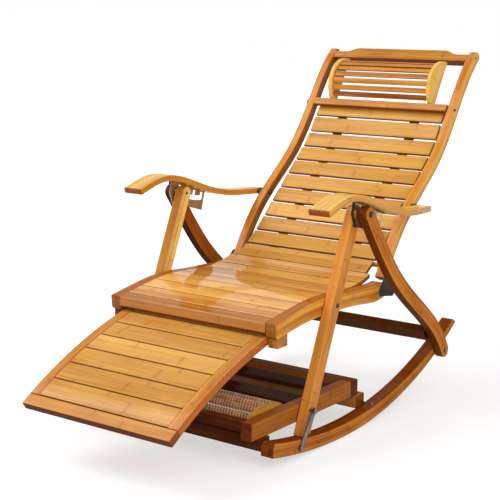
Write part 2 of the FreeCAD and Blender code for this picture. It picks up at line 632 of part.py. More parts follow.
middle = (PILLOW_BACK, 0)
behind = box(-400, 400, 0, 200, -200, 200)
below = place_on_back(*MIDDLE_RAIL_AT, MIDDLE_RAIL_H, 200.0, MID_TIP, -400, 400)
cheek = to_pillow(rod(middle, PILLOW_R, PILLOW_HALF - CHEEK_W, PILLOW_HALF).cut(behind)).cut(below)
add("pillow_cheeks", [cheek, mirrored(cheek)])
pillow_slats = []
ring_r = PILLOW_R - PILLOW_INSET
slat_half = PILLOW_HALF - CHEEK_W
ring = rod(middle, ring_r, -slat_half, slat_half)
ring = ring.cut(rod(middle, ring_r - PILLOW_SLAT_T, -slat_half - 1, slat_half + 1)).cut(behind)
first_deg = 180 - math.degrees(math.acos(PILLOW_BACK / ring_r))
for i in range(PILLOW_SLATS):
    start = first_deg + i * PILLOW_SLAT_DEG + PILLOW_SLIT_DEG
    stop = first_deg + (i + 1) * PILLOW_SLAT_DEG - PILLOW_SLIT_DEG
    wedge = [middle]
    for deg in (start, (start + stop) / 2, stop):
        at = math.radians(deg)
        wedge.append((PILLOW_BACK + 1.2 * PILLOW_R * math.cos(at), 1.2 * PILLOW_R * math.sin(at)))
    pillow_slats.append(to_pillow(ring.common(polygon(wedge, -200, 200))))
add("pillow_slats", pillow_slats)

# Pivot bolts of the back
back_bolt = collar_bolt(BACK_PIVOT, RAIL_OUT + 0.2, PLATE_X)
add("back_pivot_bolts", [back_bolt, mirrored(back_bolt)])

# Armrests
arm_low = offset_points(ARM_TOP, -ARM_THICK)
arm_edges = [
    spline(ARM_TOP).toShape(),
    line(ARM_TOP[-1], arm_low[-1]),
    spline(arm_low[::-1]).toShape(),
    line(arm_low[0], ARM_TOP[0]),
]
arm = extrude(arm_edges, ARM_IN, ARM_OUT)
rear_y = ARM_TOP[-1][0]
taper = [V(ARM_OUT + 1, rear_y - 133, 0), V(ARM_OUT - 24, rear_y + 7, 0), V(ARM_OUT + 30, rear_y + 7, 0)]
arm = arm.cut(Part.Face(Part.makePolygon(taper + taper[:1])).extrude(V(0, 0, 2 * ARM_TOP[0][1])))
arm = arm.cut(rod(ARM_PIVOT, SMALL_BOLT_R + RUNNING_GAP, ARM_IN - 1, ARM_IN + 22.0))
add_pair("armrest", arm)
arm_bolt = collar_bolt(ARM_PIVOT, ARM_IN + 21.0, ARM_IN)
add("armrest_pivot_bolts", [arm_bolt, mirrored(arm_bolt)])

# Comb brackets: the run follows the bolt's path in the armrest while the back reclines and
# while the chair folds
COMB_NOTCHES = 4
COMB_NOTCH_W = 11.0
COMB_NOTCH_UP = 21.0
COMB_HOLE = ((335.5, 530.0), (336.0, 543.5))
RUN_R = BOLT_R + 2.0


def bolt_in_arm(seat, back, arm):
    """Place of the top bolt in the armrest's frame after the joints turn by these degrees."""
    p = spin(TOP_BOLT, SEAT_PIVOT, -seat)
    p = spin(p, BACK_PIVOT, -back)
    return spin(p, ARM_PIVOT, -arm)


def capsule(a, b, radius, x0, x1):
    """Slot shape between two (Y, Z) points."""
    shape = rod(a, radius, x0, x1).fuse(rod(b, radius, x0, x1))
    if math.hypot(b[0] - a[0], b[1] - a[1]) < 0.01:
        return shape
    d = unit(a, b)
    n = (-d[1] * radius, d[0] * radius)
    quad = [(a[0] + n[0], a[1] + n[1]), (b[0] + n[0], b[1] + n[1]),
            (b[0] - n[0], b[1] - n[1]), (a[0] - n[0], a[1] - n[1])]
    return shape.fuse(polygon(quad, x0, x1))


def comb():
    """Steel comb plate with a flange under the armrest and down its pointed front edge."""
    outline = polygon([(334, 600), (318, 543), (331, 508), (394, 494), (450, 478), (464, 528), (466, 600)],
                      COMB_IN, COMB_OUT)
    top_line = [(y, z - 0.2) for y, z in arm_low[1:7]]
    under = extrude([spline(top_line).toShape(), line(top_line[-1], (top_line[-1][0], 400)),
                     line((top_line[-1][0], 400), (top_line[0][0], 400)),
                     line((top_line[0][0], 400), top_line[0])], COMB_IN - 1, COMB_OUT + 1)
    body = outline.common(under)
    front = [(334 + FLANGE_T, 600), (318 + FLANGE_T, 543), (331 + FLANGE_T, 508)]
    inside = polygon(front + [(331 + FLANGE_T, 400), (600, 400), (600, 600)], COMB_IN + PLATE_T, COMB_OUT + 1)
    lowered = under.copy()
    lowered.translate(V(0, 0, -PLATE_T))
    body = body.cut(lowered.common(inside))
    body = body.cut(capsule(*COMB_HOLE, 5.0, COMB_IN - 1, COMB_IN + PLATE_T + 0.5))
    x0 = COMB_IN - 1
    x1 = COMB_OUT + 1
    stops = [bolt_in_arm(0, -RECLINE_DEG * -k / 4, ARM_RATIO * RECLINE_DEG * k / 4) for k in range(5)]
    turns = (FOLD_SEAT_DEG, FOLD_BACK_DEG, FOLD_ARM_DEG)
    fold = [bolt_in_arm(*(turn * k / 8 for turn in turns)) for k in range(9)]
    for path in (stops, fold):
        for a, b in zip(path[:-1], path[1:]):
            body = body.cut(capsule(a, b, RUN_R, x0, x1))
    d = unit(stops[0], stops[-1])
    up = (-d[1], d[0])
    length = math.hypot(stops[-1][0] - stops[0][0], stops[-1][1] - stops[0][1])
    for k in range(COMB_NOTCHES):
        at = length * k / (COMB_NOTCHES - 1)
        low = (stops[0][0] + d[0] * at, stops[0][1] + d[1] * at)
        reach_up = COMB_NOTCH_UP - COMB_NOTCH_W / 2
        high = (low[0] + up[0] * reach_up, low[1] + up[1] * reach_up)
        body = body.cut(capsule(low, high, COMB_NOTCH_W / 2, x0, x1))
    return body.removeSplitter()


comb_bracket = comb()
add_pair("comb_bracket", comb_bracket)

# Screws that show on the outer faces


def screw(y, z, x_out, length):
    """Countersunk screw whose head lies level with the face at x_out."""
    shape = rod((y, z), SCREW_R, x_out - length, x_out - 2.0)
    head = Part.makeCone(SCREW_R, SCREW_R * 2, 2.0, V(x_out - 2.0, y, z), V(1, 0, 0))
    return shape.fuse(head)


base_screws = [
    screw(CROSS_FRONT[0] + 15, CROSS_FRONT_Z0 + 15, ROCKER_OUT, 60.0),
    screw(CROSS_REAR[0] + 21, CROSS_REAR_Z0 + 14, ROCKER_OUT, 60.0),
]
leg_screws = [screw(CROSSBAR_CENTRE[0] + 3, CROSSBAR_CENTRE[1] + 2, REAR_OUT, 50.0)]
rail_screws = [
    screw(MIDDLE_RAIL_AT[0] + 10.4, MIDDLE_RAIL_AT[1] + 3, BACK_OUT, 45.0),
    screw(TOP_RAIL_AT[0] + 15, TOP_RAIL_AT[1] + 8, BACK_OUT, 45.0),
]


def fit_screws(name, pieces, hosts):
    """Keeps a screw set on both sides and drills its host nodes."""
    both = pieces + [mirrored(p) for p in pieces]
    add(name, both)
    for host in hosts:
        cut = []
        for solid in NODES[host]:
            for piece in both:
                if solid.BoundBox.intersect(piece.BoundBox):
                    solid = solid.cut(piece)
            cut.extend(solid.Solids)
        NODES[host] = cut


fit_screws("base_screws", base_screws,
           ["rocker_left", "rocker_right", "base_crossbar_front", "base_crossbar_rear"])
fit_screws("rear_leg_screws", leg_screws, ["rear_leg_left", "rear_leg_right", "rear_leg_crossbar"])
fit_screws("back_rail_screws", rail_screws,
           ["back_rail_left", "back_rail_right", "back_middle_rail", "back_top_rail"])


def main():
    """Moves the chair so that the middle of its length lies on Y = 0, and writes the nodes."""
    whole = Part.makeCompound([s for solids in NODES.values() for s in solids]).BoundBox
    middle = round((whole.YMin + whole.YMax) / 2, 1)
    for name, solids in NODES.items():
        shape = solids[0] if len(solids) == 1 else Part.makeCompound(solids)
        moved = shape.copy()
        moved.translate(V(0, -middle, 0))
        moved.exportStep("parts/%s.step" % name)
    print("nodes %d, moved back by %.1f mm" % (len(NODES), middle))


main()
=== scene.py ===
"""Bamboo rocking chaise longue: finishes, dressed boards, turned rollers, ironwork and studio."""

import json
import logging
import math
from collections.abc import Callable, Iterable
from dataclasses import dataclass, replace
from enum import Enum

import bmesh
import bpy
import numpy as np
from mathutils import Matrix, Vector

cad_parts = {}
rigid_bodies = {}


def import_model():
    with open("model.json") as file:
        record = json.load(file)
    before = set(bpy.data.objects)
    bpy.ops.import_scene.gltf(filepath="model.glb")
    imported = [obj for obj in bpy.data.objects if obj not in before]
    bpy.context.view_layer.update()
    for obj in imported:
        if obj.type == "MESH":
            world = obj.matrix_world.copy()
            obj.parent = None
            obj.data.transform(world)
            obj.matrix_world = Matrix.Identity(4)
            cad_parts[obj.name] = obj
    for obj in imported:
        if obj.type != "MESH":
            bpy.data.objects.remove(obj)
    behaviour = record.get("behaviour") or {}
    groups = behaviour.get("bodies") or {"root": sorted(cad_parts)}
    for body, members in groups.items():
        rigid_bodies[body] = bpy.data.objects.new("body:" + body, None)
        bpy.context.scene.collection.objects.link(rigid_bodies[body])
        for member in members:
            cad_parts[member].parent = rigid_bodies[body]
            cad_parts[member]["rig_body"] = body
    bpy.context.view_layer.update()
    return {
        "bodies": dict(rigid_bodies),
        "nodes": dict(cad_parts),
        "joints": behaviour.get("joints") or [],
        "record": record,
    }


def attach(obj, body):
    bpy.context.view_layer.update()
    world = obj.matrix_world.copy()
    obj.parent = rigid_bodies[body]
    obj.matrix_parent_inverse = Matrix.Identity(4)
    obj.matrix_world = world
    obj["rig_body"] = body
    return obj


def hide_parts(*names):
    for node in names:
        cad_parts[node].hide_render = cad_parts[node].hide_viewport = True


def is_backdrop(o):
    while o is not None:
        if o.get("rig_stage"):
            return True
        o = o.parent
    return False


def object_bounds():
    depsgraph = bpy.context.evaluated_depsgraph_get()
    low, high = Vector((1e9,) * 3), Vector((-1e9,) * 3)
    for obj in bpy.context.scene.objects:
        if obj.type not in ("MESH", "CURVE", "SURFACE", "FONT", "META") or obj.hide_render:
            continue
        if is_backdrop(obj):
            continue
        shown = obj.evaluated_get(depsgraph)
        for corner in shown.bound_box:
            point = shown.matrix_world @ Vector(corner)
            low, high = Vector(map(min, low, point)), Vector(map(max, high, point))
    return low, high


LOG = logging.getLogger("chaise")
MM = 0.001
WHITE = (1.0, 1.0, 1.0)
Triple = tuple[float, float, float]
Socket = bpy.types.NodeSocket
Mesh = bmesh.types.BMesh

# Cells of noise per metre along, across and into a bamboo board
FIBRE_CELLS = (14.0, 620.0, 620.0)
STREAK_CELLS = (5.0, 150.0, 150.0)
CLOUD_CELLS = (6.0, 22.0, 22.0)
# The same for steel, for turned beads and for webbing
SMEAR_CELLS = (60.0, 60.0, 60.0)
SCRATCH_CELLS = (900.0, 120.0, 900.0)
BEAD_FIBRE_CELLS = (90.0, 420.0, 420.0)
PATCH_CELLS = (45.0, 25.0, 25.0)
FUZZ_CELLS = (900.0, 900.0, 900.0)
# Where the painted highlight along a bent board's side runs, and half its width, as shares of half the board
HIGHLIGHT_AT = 0.42
HIGHLIGHT_WIDTH = 0.2
# Half widths of marks, as shares of a knuckle's run or of a strip
KNUCKLE_WIDTH = 0.011
KNUCKLE_SHADE_WIDTH = 0.05
SEAM_WIDTH = 0.04
# Thickness of a glued layer over the width of a strip
LAYER_SHARE = 0.7
# Multipliers that scatter the lots of boards and strips
TONE_SCATTER = 91.0
KNUCKLE_SCATTER = 5.3
# Share of the deep colour in a middle tone
MIDDLE_SHARE = 0.45
# Lowest roughness of bamboo, and how much that of bamboo and of steel varies
BAMBOO_ROUGH = 0.3
BAMBOO_ROUGH_SPREAD = 0.16
STEEL_ROUGH_SPREAD = 0.18
# Threads of the webbing per metre along and across
TWILL = (520.0, 700.0)

# Vertices of the CAD mesh that are nearer than this are joined
JOIN_WITHIN = 0.01 * MM
# A distance that counts as nothing
TINY = 0.001 * MM
# Faces that meet at less than FLAT_DEG are one flat, and at more than SHADE_DEG they shade apart
FLAT_DEG = 0.4
SHADE_DEG = 38
# Edges that meet at more than ROUND_DEG and run on for MIN_RUN are rounded
ROUND_DEG = 35
MIN_RUN = 30 * MM
# Cuts that give a bent board's middle line, and how many steps it is drawn on at its ends
LINE_CUTS = 34
LINE_OVERRUN = 3
# Distance between the cuts that let fibres follow a bent board
STATIONS = 18 * MM
# Stretch of a bent board over which its width is measured
WIDTH_WINDOW = 15 * MM
# How near a bent board's end its sawn faces are
END_DEPTH = 6 * MM
# Least part of a face's normal along an axis for the face to look that way
FACING = 0.6
# Added to places in a board, so that none is negative
PLACE_SHIFT = 0.5
# Longest random shift of a board's pattern along its fibres
PATTERN_SHIFT = 3.0


class Grain(Enum):
    """Which way a board's fibres run."""

    ACROSS = "across the chair"
    PROFILE = "along the side profile"


class NodeSheet:
    """Wires the shader nodes of one material or of the world.

    Args:
        owner: The material or world.
        shader: Kind of node that makes its surface.
        output: Kind of its output node.
    """

    def __init__(self, owner: bpy.types.ID, shader: str = "BsdfPrincipled",
                 output: str = "OutputMaterial") -> None:
        """Replaces the owner's nodes by a shader and its output."""
        owner.use_nodes = True
        self.tree = owner.node_tree
        self.tree.nodes.clear()
        self.shader = self.node(shader)
        self.surface = self.node(output).inputs["Surface"]
        self.feed(self.surface, self.shader.outputs[0])

    def node(self, kind: str, *sources: object, **settings: object) -> bpy.types.Node:
        """Adds a node, sets its properties and feeds its inputs.

        Args:
            kind: Blender's name for the node's type, after ShaderNode.
            *sources: Values or sockets for its inputs, in their order.
            **settings: Properties to set on the node.

        Returns:
            The new node.
        """
        made = self.tree.nodes.new("ShaderNode" + kind)
        for key, value in settings.items():
            setattr(made, key, value)
        for socket, source in zip(made.inputs, sources):
            self.feed(socket, source)
        return made

    def feed(self, socket: Socket, source: object) -> None:
        """Links a socket to another, or writes a plain value into it.

        Args:
            socket: The input to feed.
            source: An output socket, or a number, colour or vector.
        """
        if isinstance(source, Socket):
            self.tree.links.new(source, socket)
        else:
            socket.default_value = source

    def set(self, **values: object) -> None:
        """Feeds the shader's inputs, named with underscores for blanks.

        Args:
            **values: Sources by input name.
        """
        for key, value in values.items():
            self.feed(self.shader.inputs[key.replace("_", " ")], value)

    def attribute(self, name: str, output: str = "Fac") -> Socket:
        """Reads an output of a mesh attribute."""
        return self.node("Attribute", attribute_name=name).outputs[output]

    def math(self, operation: str, a: object, b: object = 0.0, clamp: bool = False) -> Socket:
        """Does one sum, kept between 0 and 1 where it is clamped."""
        return self.node("Math", a, b, operation=operation, use_clamp=clamp).outputs[0]

    def total(self, *terms: tuple[object, float]) -> Socket:
        """Adds up weighted sockets, each centred on one half.

        Args:
            *terms: Pairs of socket and weight.

        Returns:
            The sum's socket.
        """
        result: object = 0.0
        for socket, weight in terms:
            result = self.plus(result, self.math("SUBTRACT", socket, 0.5), weight)
        return result

    def plus(self, base: object, term: object, weight: object) -> Socket:
        """Adds a term to a value, multiplied by its weight."""
        return self.math("ADD", base, self.math("MULTIPLY", term, weight))

    def parts(self, vector: Socket) -> tuple[Socket, ...]:
        """Splits a vector into its values."""
        return tuple(self.node("SeparateXYZ", vector).outputs)

    def noise(self, vector: Socket, cells: Triple, detail: float = 3.0, roughness: float = 0.6) -> Socket:
        """Samples smooth noise at a vector.

        Args:
            vector: Where to sample.
            cells: Cells per metre along each of its values.
            detail: Octaves.
            roughness: Weight of the finer octaves.

        Returns:
            The noise between 0 and 1.
        """
        scaled = self.node("VectorMath", vector, cells, operation="MULTIPLY")
        made = self.node("TexNoise", scaled.outputs[0])
        for name, value in (("Scale", 1.0), ("Detail", detail), ("Roughness", roughness)):
            made.inputs[name].default_value = value
        return made.outputs["Fac"]

    def ramp(self, value: object, low: float, high: float, at_low: float, at_high: float) -> Socket:
        """Blends between two numbers while a value goes from low to high."""
        made = self.node("MapRange", value, low, high, at_low, at_high, interpolation_type="SMOOTHSTEP")
        return made.outputs[0]

    def ridge(self, value: Socket, centre: float, width: float) -> Socket:
        """Makes a soft peak of height 1 at a centre, given half its width."""
        apart = self.math("ABSOLUTE", self.math("SUBTRACT", value, centre))
        return self.ramp(apart, 0.0, width, 1.0, 0.0)

    def mix(self, factor: object, a: object, b: object, blend: str = "MIX") -> Socket:
        """Mixes two colours.

        Args:
            factor: Share of the second colour.
            a: First colour or socket.
            b: Second colour or socket.
            blend: The Mix node's blending mode.

        Returns:
            The mixed colour's socket.
        """
        made = self.node("Mix", data_type="RGBA", blend_type=blend, clamp_factor=True)
        self.feed(made.inputs[0], factor)
        for socket, source in ((made.inputs[6], a), (made.inputs[7], b)):
            self.feed(socket, (*source, 1.0) if isinstance(source, tuple) else source)
        return made.outputs[2]

    def bump(self, height: Socket, strength: float, distance: float) -> Socket:
        """Turns a height into a bumped normal.

        Args:
            height: The height's socket.
            strength: Share of the bump that is applied.
            distance: Height in metres of a full step.

        Returns:
            The normal's socket.
        """
        made = self.node("Bump")
        for name, source in (("Strength", strength), ("Distance", distance), ("Height", height)):
            self.feed(made.inputs[name], source)
        return made.outputs["Normal"]


@dataclass(frozen=True)
class Finish:
    """A look whose material is built once and shared.

    Args:
        name: Name of the material.
    """

    name: str

    def material(self) -> bpy.types.Material:
        """Builds the material at the first call.

        Returns:
            The material.
        """
        material = bpy.data.materials.get(self.name)
        if not material:
            material = bpy.data.materials.new(self.name)
            self.wire(NodeSheet(material))
        return material

    def wire(self, sheet: NodeSheet) -> None:
        """Wires the look, which each kind of finish does its own way."""
        raise NotImplementedError


@dataclass(frozen=True)
class BambooFinish(Finish):
    """Laminated bamboo under clear varnish, with fibres, glued strips, knuckles, tinted edges, and painted
    highlights and shade.

    Args:
        pale: Colour of the lightest strips.
        deep: Colour of the darkest strips.
        strip: Width of one glued strip, in metres.
        knuckles: Knuckle marks per metre of strip.
        edge: Colour of the rounded edges; dark by default, and pale where it paints a highlight.
        edge_share: How much of the edge colour shows on the rounding.
        brim_tint: Colour of the dark band beside the edges.
        brim: How much of that colour shows on the band.
        brim_width: Width of the brim, as a share of half the board.
        narrow: What the colour is multiplied by on the faces at a board's thin edges; partly their own tone
            and partly painted shade.
        flank: What it is multiplied by on the sides of a bent board.
        inner: What it is multiplied by on the sides that face the middle of the chair; partly their own tone
            and partly painted shade.
        end: What it is multiplied by on the sawn ends.
        slant: How much paler a bent board's upper or front half is than the other.
        glue: How dark the glue lines between strips are.
        line: How strong the painted highlight is along a bent board's side.
        contrast: How far strips and fibres stray from the middle colour.
        coat: Weight of the varnish.
        gloss: Roughness of the varnish.
    """

    pale: Triple
    deep: Triple
    strip: float = 0.021
    knuckles: float = 3.1
    edge: Triple = (0.17, 0.050, 0.011)
    edge_share: float = 0.7
    brim_tint: Triple = (0.17, 0.050, 0.011)
    brim: float = 0.45
    brim_width: float = 0.13
    narrow: Triple = WHITE
    flank: Triple = WHITE
    inner: Triple = WHITE
    end: Triple = (0.46, 0.30, 0.22)
    slant: float = 0.0
    glue: float = 0.22
    line: float = 0.0
    contrast: float = 1.3
    coat: float = 0.32
    gloss: float = 0.09

    def wire(self, sheet: NodeSheet) -> None:
        """Wires the look.

        Args:
            sheet: The material being wired.
        """
        grain = sheet.attribute("grain", "Vector")
        reach = sheet.attribute("reach")
        narrow = sheet.attribute("narrow")
        fibre = sheet.noise(grain, FIBRE_CELLS)
        streak = sheet.noise(grain, STREAK_CELLS)
        knuckle, share = self.strips(sheet, grain, fibre, streak)
        # A painted highlight along a bent board's side, and the slant that makes one half of the side paler
        if self.line:
            paler = sheet.math("MULTIPLY", sheet.ridge(reach, HIGHLIGHT_AT, HIGHLIGHT_WIDTH), self.line)
            paler = sheet.plus(paler, reach, self.slant)
            share = sheet.math("SUBTRACT", share, paler, clamp=True)
        colour = sheet.mix(share, self.pale, self.deep)
        wide = sheet.math("SUBTRACT", 1.0, narrow)
        inner, end = sheet.attribute("inner"), sheet.attribute("end")
        # Tints by the way a face looks; on the thin edges and inner sides they are partly painted shade
        for factor, tint in ((narrow, self.narrow), (wide, self.flank), (inner, self.inner),
                             (end, self.end)):
            if tint != WHITE:
                colour = sheet.mix(factor, colour, tint, "MULTIPLY")
        patchy_noise = sheet.math("ADD", streak, 0.5)
        brim_mask = sheet.ridge(sheet.math("ABSOLUTE", reach), 1.0, self.brim_width)
        brim_mask = sheet.math("MULTIPLY", sheet.math("MULTIPLY", brim_mask, wide),
                             sheet.math("MULTIPLY", patchy_noise, self.brim), clamp=True)
        colour = sheet.mix(brim_mask, colour, self.brim_tint)
        # Rounded edges take the edge colour: a dark tint on most boards, a painted highlight on the front
        # legs
        rim_share = sheet.math("MULTIPLY", patchy_noise, self.edge_share)
        rim_share = sheet.math("MULTIPLY", sheet.attribute("rim"), rim_share, clamp=True)
        colour = sheet.mix(rim_share, colour, self.edge)
        height = sheet.plus(sheet.math("MULTIPLY", fibre, 0.25), knuckle, -0.5)
        rough = sheet.plus(BAMBOO_ROUGH, streak, BAMBOO_ROUGH_SPREAD)
        sheet.set(Base_Color=colour, Roughness=rough, Coat_Weight=self.coat, Coat_Roughness=self.gloss,
                  Coat_IOR=1.45, Specular_IOR_Level=0.0, Normal=sheet.bump(height, 0.25, 0.4 * MM))

    def strips(self, sheet: NodeSheet, grain: Socket, fibre: Socket, streak: Socket) -> tuple[Socket, Socket]:
        """Lays out the glued strips with their knuckles and glue lines.

        Args:
            sheet: The material being wired.
            grain: Place along, across and into the board.
            fibre: Fine fibre noise.
            streak: Coarse fibre noise.

        Returns:
            The knuckle marks, and the share of the deep colour.
        """
        tone = sheet.attribute("tone")
        along, across, deep = sheet.parts(grain)
        strip_number = sheet.math("FLOOR", sheet.math("DIVIDE", across, self.strip))
        layer_number = sheet.math("FLOOR", sheet.math("DIVIDE", deep, self.strip * LAYER_SHARE))
        board_number = sheet.math("MULTIPLY", tone, TONE_SCATTER)
        numbers = sheet.node("CombineXYZ", strip_number, layer_number, board_number).outputs[0]
        lot = sheet.node("TexWhiteNoise", numbers, noise_dimensions="3D").outputs["Value"]
        cloud = sheet.noise(grain, CLOUD_CELLS, 2.0, 0.5)
        run = sheet.plus(sheet.math("MULTIPLY", along, self.knuckles), lot, KNUCKLE_SCATTER)
        run = sheet.math("FRACT", run)
        knuckle = sheet.ridge(run, 0.5, KNUCKLE_WIDTH)
        seam_place = sheet.math("FRACT", sheet.math("ADD", sheet.math("DIVIDE", across, self.strip), 0.5))
        seam = sheet.ridge(seam_place, 0.5, SEAM_WIDTH)
        share = sheet.total((fibre, 0.60), (streak, 0.85), (cloud, 0.60), (lot, 0.42), (tone, 0.46))
        share = sheet.plus(MIDDLE_SHARE, share, self.contrast)
        shade = sheet.ridge(run, 0.5, KNUCKLE_SHADE_WIDTH)
        for mark, weight in ((shade, 0.12), (seam, self.glue), (knuckle, 0.45)):
            share = sheet.plus(share, mark, weight)
        return knuckle, sheet.math("ADD", share, 0.0, clamp=True)


@dataclass(frozen=True)
class MetalFinish(Finish):
    """Plated or lacquered steel with faint smears.

    Args:
        bright: Colour where the plating is clean.
        dull: Colour where it is smeared.
        metallic: How metallic the surface is.
        rough: Middle roughness.
        blackened: Colour of the folded flange, or nothing where there is none.
        flat: Distances from the chair's middle between which the plate is flat and not blackened.
    """

    bright: Triple
    dull: Triple
    metallic: float = 1.0
    rough: float = 0.28
    blackened: Triple | None = None
    flat: tuple[float, float] = (0.0, 1.0)

    def wire(self, sheet: NodeSheet) -> None:
        """Wires the look.

        Args:
            sheet: The material being wired.
        """
        place = sheet.node("TexCoord").outputs["Object"]
        smear = sheet.noise(place, SMEAR_CELLS)
        scratch = sheet.noise(place, SCRATCH_CELLS, 2.0, 0.6)
        share = sheet.math("ADD", sheet.total((smear, 1.6), (scratch, 0.5)), 0.4, clamp=True)
        rough = sheet.plus(self.rough - STEEL_ROUGH_SPREAD / 2, smear, STEEL_ROUGH_SPREAD)
        colour = sheet.mix(share, self.bright, self.dull)
        if self.blackened:
            out = sheet.math("ABSOLUTE", sheet.parts(place)[0])
            flat = sheet.math("MULTIPLY", sheet.math("GREATER_THAN", out, self.flat[0]),
                              sheet.math("LESS_THAN", out, self.flat[1]))
            colour = sheet.mix(flat, self.blackened, colour)
        sheet.set(Base_Color=colour, Metallic=self.metallic, Roughness=rough,
                  Normal=sheet.bump(scratch, 0.12, 0.2 * MM))


@dataclass(frozen=True)
class BeadFinish(Finish):
    """Turned hardwood beads, with painted shade in the grooves between them.

    Args:
        pale: Colour on the crowns.
        deep: Colour of the painted shade in the grooves, and of the dark fibres.
    """

    pale: Triple
    deep: Triple

    def wire(self, sheet: NodeSheet) -> None:
        """Wires the look.

        Args:
            sheet: The material being wired.
        """
        place = sheet.node("TexCoord").outputs["Object"]
        fibre = sheet.noise(place, BEAD_FIBRE_CELLS)
        patch = sheet.noise(place, PATCH_CELLS, 2.0, 0.5)
        # Painted shade: darker towards the grooves between beads
        groove_shade = sheet.math("SUBTRACT", 1.0, sheet.attribute("crown"))
        share = sheet.plus(sheet.total((fibre, 0.6), (patch, 0.9)), groove_shade, 1.5)
        share = sheet.math("ADD", share, 0.1, clamp=True)
        sheet.set(Base_Color=sheet.mix(share, self.pale, self.deep), Roughness=0.30, Coat_Weight=0.8,
                  Coat_Roughness=0.12, Normal=sheet.bump(fibre, 0.2, 0.3 * MM))


@dataclass(frozen=True)
class WebbingFinish(Finish):
    """Woven polyester webbing with a fine twill.

    Args:
        thread: Colour of the raised threads.
        shade: Colour between the threads.
    """

    thread: Triple
    shade: Triple

    def wire(self, sheet: NodeSheet) -> None:
        """Wires the look.

        Args:
            sheet: The material being wired.
        """
        grain = sheet.attribute("grain", "Vector")
        along, across, _ = sheet.parts(grain)
        slope = sheet.plus(sheet.math("MULTIPLY", along, TWILL[0]), across, TWILL[1])
        twill = sheet.math("ABSOLUTE", sheet.math("SINE", sheet.math("MULTIPLY", slope, math.pi)))
        fuzz = sheet.noise(grain, FUZZ_CELLS, 2.0, 0.6)
        share = sheet.math("ADD", sheet.total((twill, 0.8), (fuzz, 0.5)), 0.5, clamp=True)
        sheet.set(Base_Color=sheet.mix(share, self.shade, self.thread), Roughness=0.9,
                  Specular_IOR_Level=0.1, Normal=sheet.bump(share, 0.5, 0.4 * MM))


SEAT_BAMBOO = BambooFinish(
    "seat_bamboo", (0.9, 0.48, 0.1), (0.52, 0.175, 0.02), narrow=(0.42, 0.26, 0.18), coat=0.7, gloss=0.06)
BACK_BAMBOO = BambooFinish(
    "back_bamboo", (0.8, 0.43, 0.088), (0.5, 0.195, 0.03), narrow=(0.5, 0.34, 0.24), brim=0.4, contrast=1.05,
    coat=0.25, gloss=0.14)
FOOT_BAMBOO = BambooFinish(
    "footrest_bamboo", (0.8, 0.44, 0.1), (0.48, 0.18, 0.03), strip=0.03, narrow=(0.42, 0.24, 0.16), brim=0.6,
    contrast=1.05)
FOOT_RAIL_BAMBOO = BambooFinish(
    "footrest_rail_bamboo", (0.72, 0.3, 0.062), (0.41, 0.138, 0.02), strip=0.0135, flank=(0.78, 0.5, 0.32))
FOOT_END_BAMBOO = BambooFinish(
    "footrest_end_bamboo", (0.74, 0.34, 0.068), (0.45, 0.165, 0.025), narrow=(0.24, 0.12, 0.1), brim=0.6,
    brim_width=0.1, coat=0.2)
BACK_RAIL_BAMBOO = BambooFinish(
    "back_rail_bamboo", (0.88, 0.46, 0.08), (0.46, 0.16, 0.018), strip=0.0135, slant=0.36,
    narrow=(0.8, 0.6, 0.44), inner=(0.46, 0.33, 0.27), line=0.35, end=(0.2, 0.13, 0.12), contrast=1.5)
SEAT_RAIL_BAMBOO = BambooFinish(
    "seat_rail_bamboo", (0.9, 0.42, 0.052), (0.5, 0.155, 0.012), strip=0.0135, narrow=(0.64, 0.48, 0.42),
    inner=(0.45, 0.3, 0.2), end=(0.5, 0.4, 0.38), line=0.3, contrast=1.5)
ROCKER_BAMBOO = BambooFinish(
    "rocker_bamboo", (0.63, 0.215, 0.024), (0.22, 0.05, 0.005), strip=0.015, slant=0.12,
    narrow=(0.54, 0.4, 0.34), inner=(0.4, 0.3, 0.3), line=0.3, contrast=1.7, coat=0.15)
# The pale edge colour, also in the orange copy below, is a painted highlight on the rounded edges
FRONT_LEG_BAMBOO = BambooFinish(
    "front_leg_bamboo", (0.95, 0.64, 0.19), (0.62, 0.28, 0.05), strip=0.0125, edge=(0.98, 0.78, 0.52),
    edge_share=0.5, narrow=(0.6, 0.4, 0.24), line=0.3, contrast=1.8)
ORANGE_LEG_BAMBOO = replace(
    FRONT_LEG_BAMBOO, name="orange_leg_bamboo", pale=(0.86, 0.41, 0.085), deep=(0.5, 0.165, 0.022),
    narrow=(0.88, 0.72, 0.55), flank=(0.9, 0.74, 0.62))
# Its near-black narrow tint is painted shade on the legs' front and rear faces
REAR_LEG_BAMBOO = BambooFinish(
    "rear_leg_bamboo", (0.58, 0.185, 0.02), (0.23, 0.052, 0.005), strip=0.0135, edge=(0.5, 0.2, 0.045),
    narrow=(0.11, 0.08, 0.14), inner=(0.88, 0.8, 0.85), line=0.3, slant=-0.12, contrast=1.7, coat=0.12)
# A paler copy for the left rear leg, with lighter painted shade on its front and rear faces
NEAR_LEG_BAMBOO = replace(
    REAR_LEG_BAMBOO, name="near_leg_bamboo", pale=(0.66, 0.22, 0.026), deep=(0.28, 0.066, 0.006),
    narrow=(0.34, 0.25, 0.2))
BEAM_BAMBOO = BambooFinish(
    "beam_bamboo", (0.46, 0.15, 0.02), (0.18, 0.042, 0.006), narrow=(0.95, 0.86, 0.8), coat=0.15,
    contrast=1.6)
CREAM_BAMBOO = BambooFinish(
    "cream_bamboo", (0.92, 0.57, 0.115), (0.68, 0.33, 0.048), edge_share=0.35, brim=0.25)
ARM_BAMBOO = BambooFinish(
    "armrest_bamboo", (0.94, 0.6, 0.14), (0.6, 0.25, 0.034), strip=0.016, flank=(0.86, 0.65, 0.42),
    end=(0.48, 0.27, 0.15), contrast=1.5, coat=0.5)
BROWN_BAMBOO = BambooFinish("brown_bamboo", (0.6, 0.24, 0.036), (0.28, 0.078, 0.009), contrast=1.5)
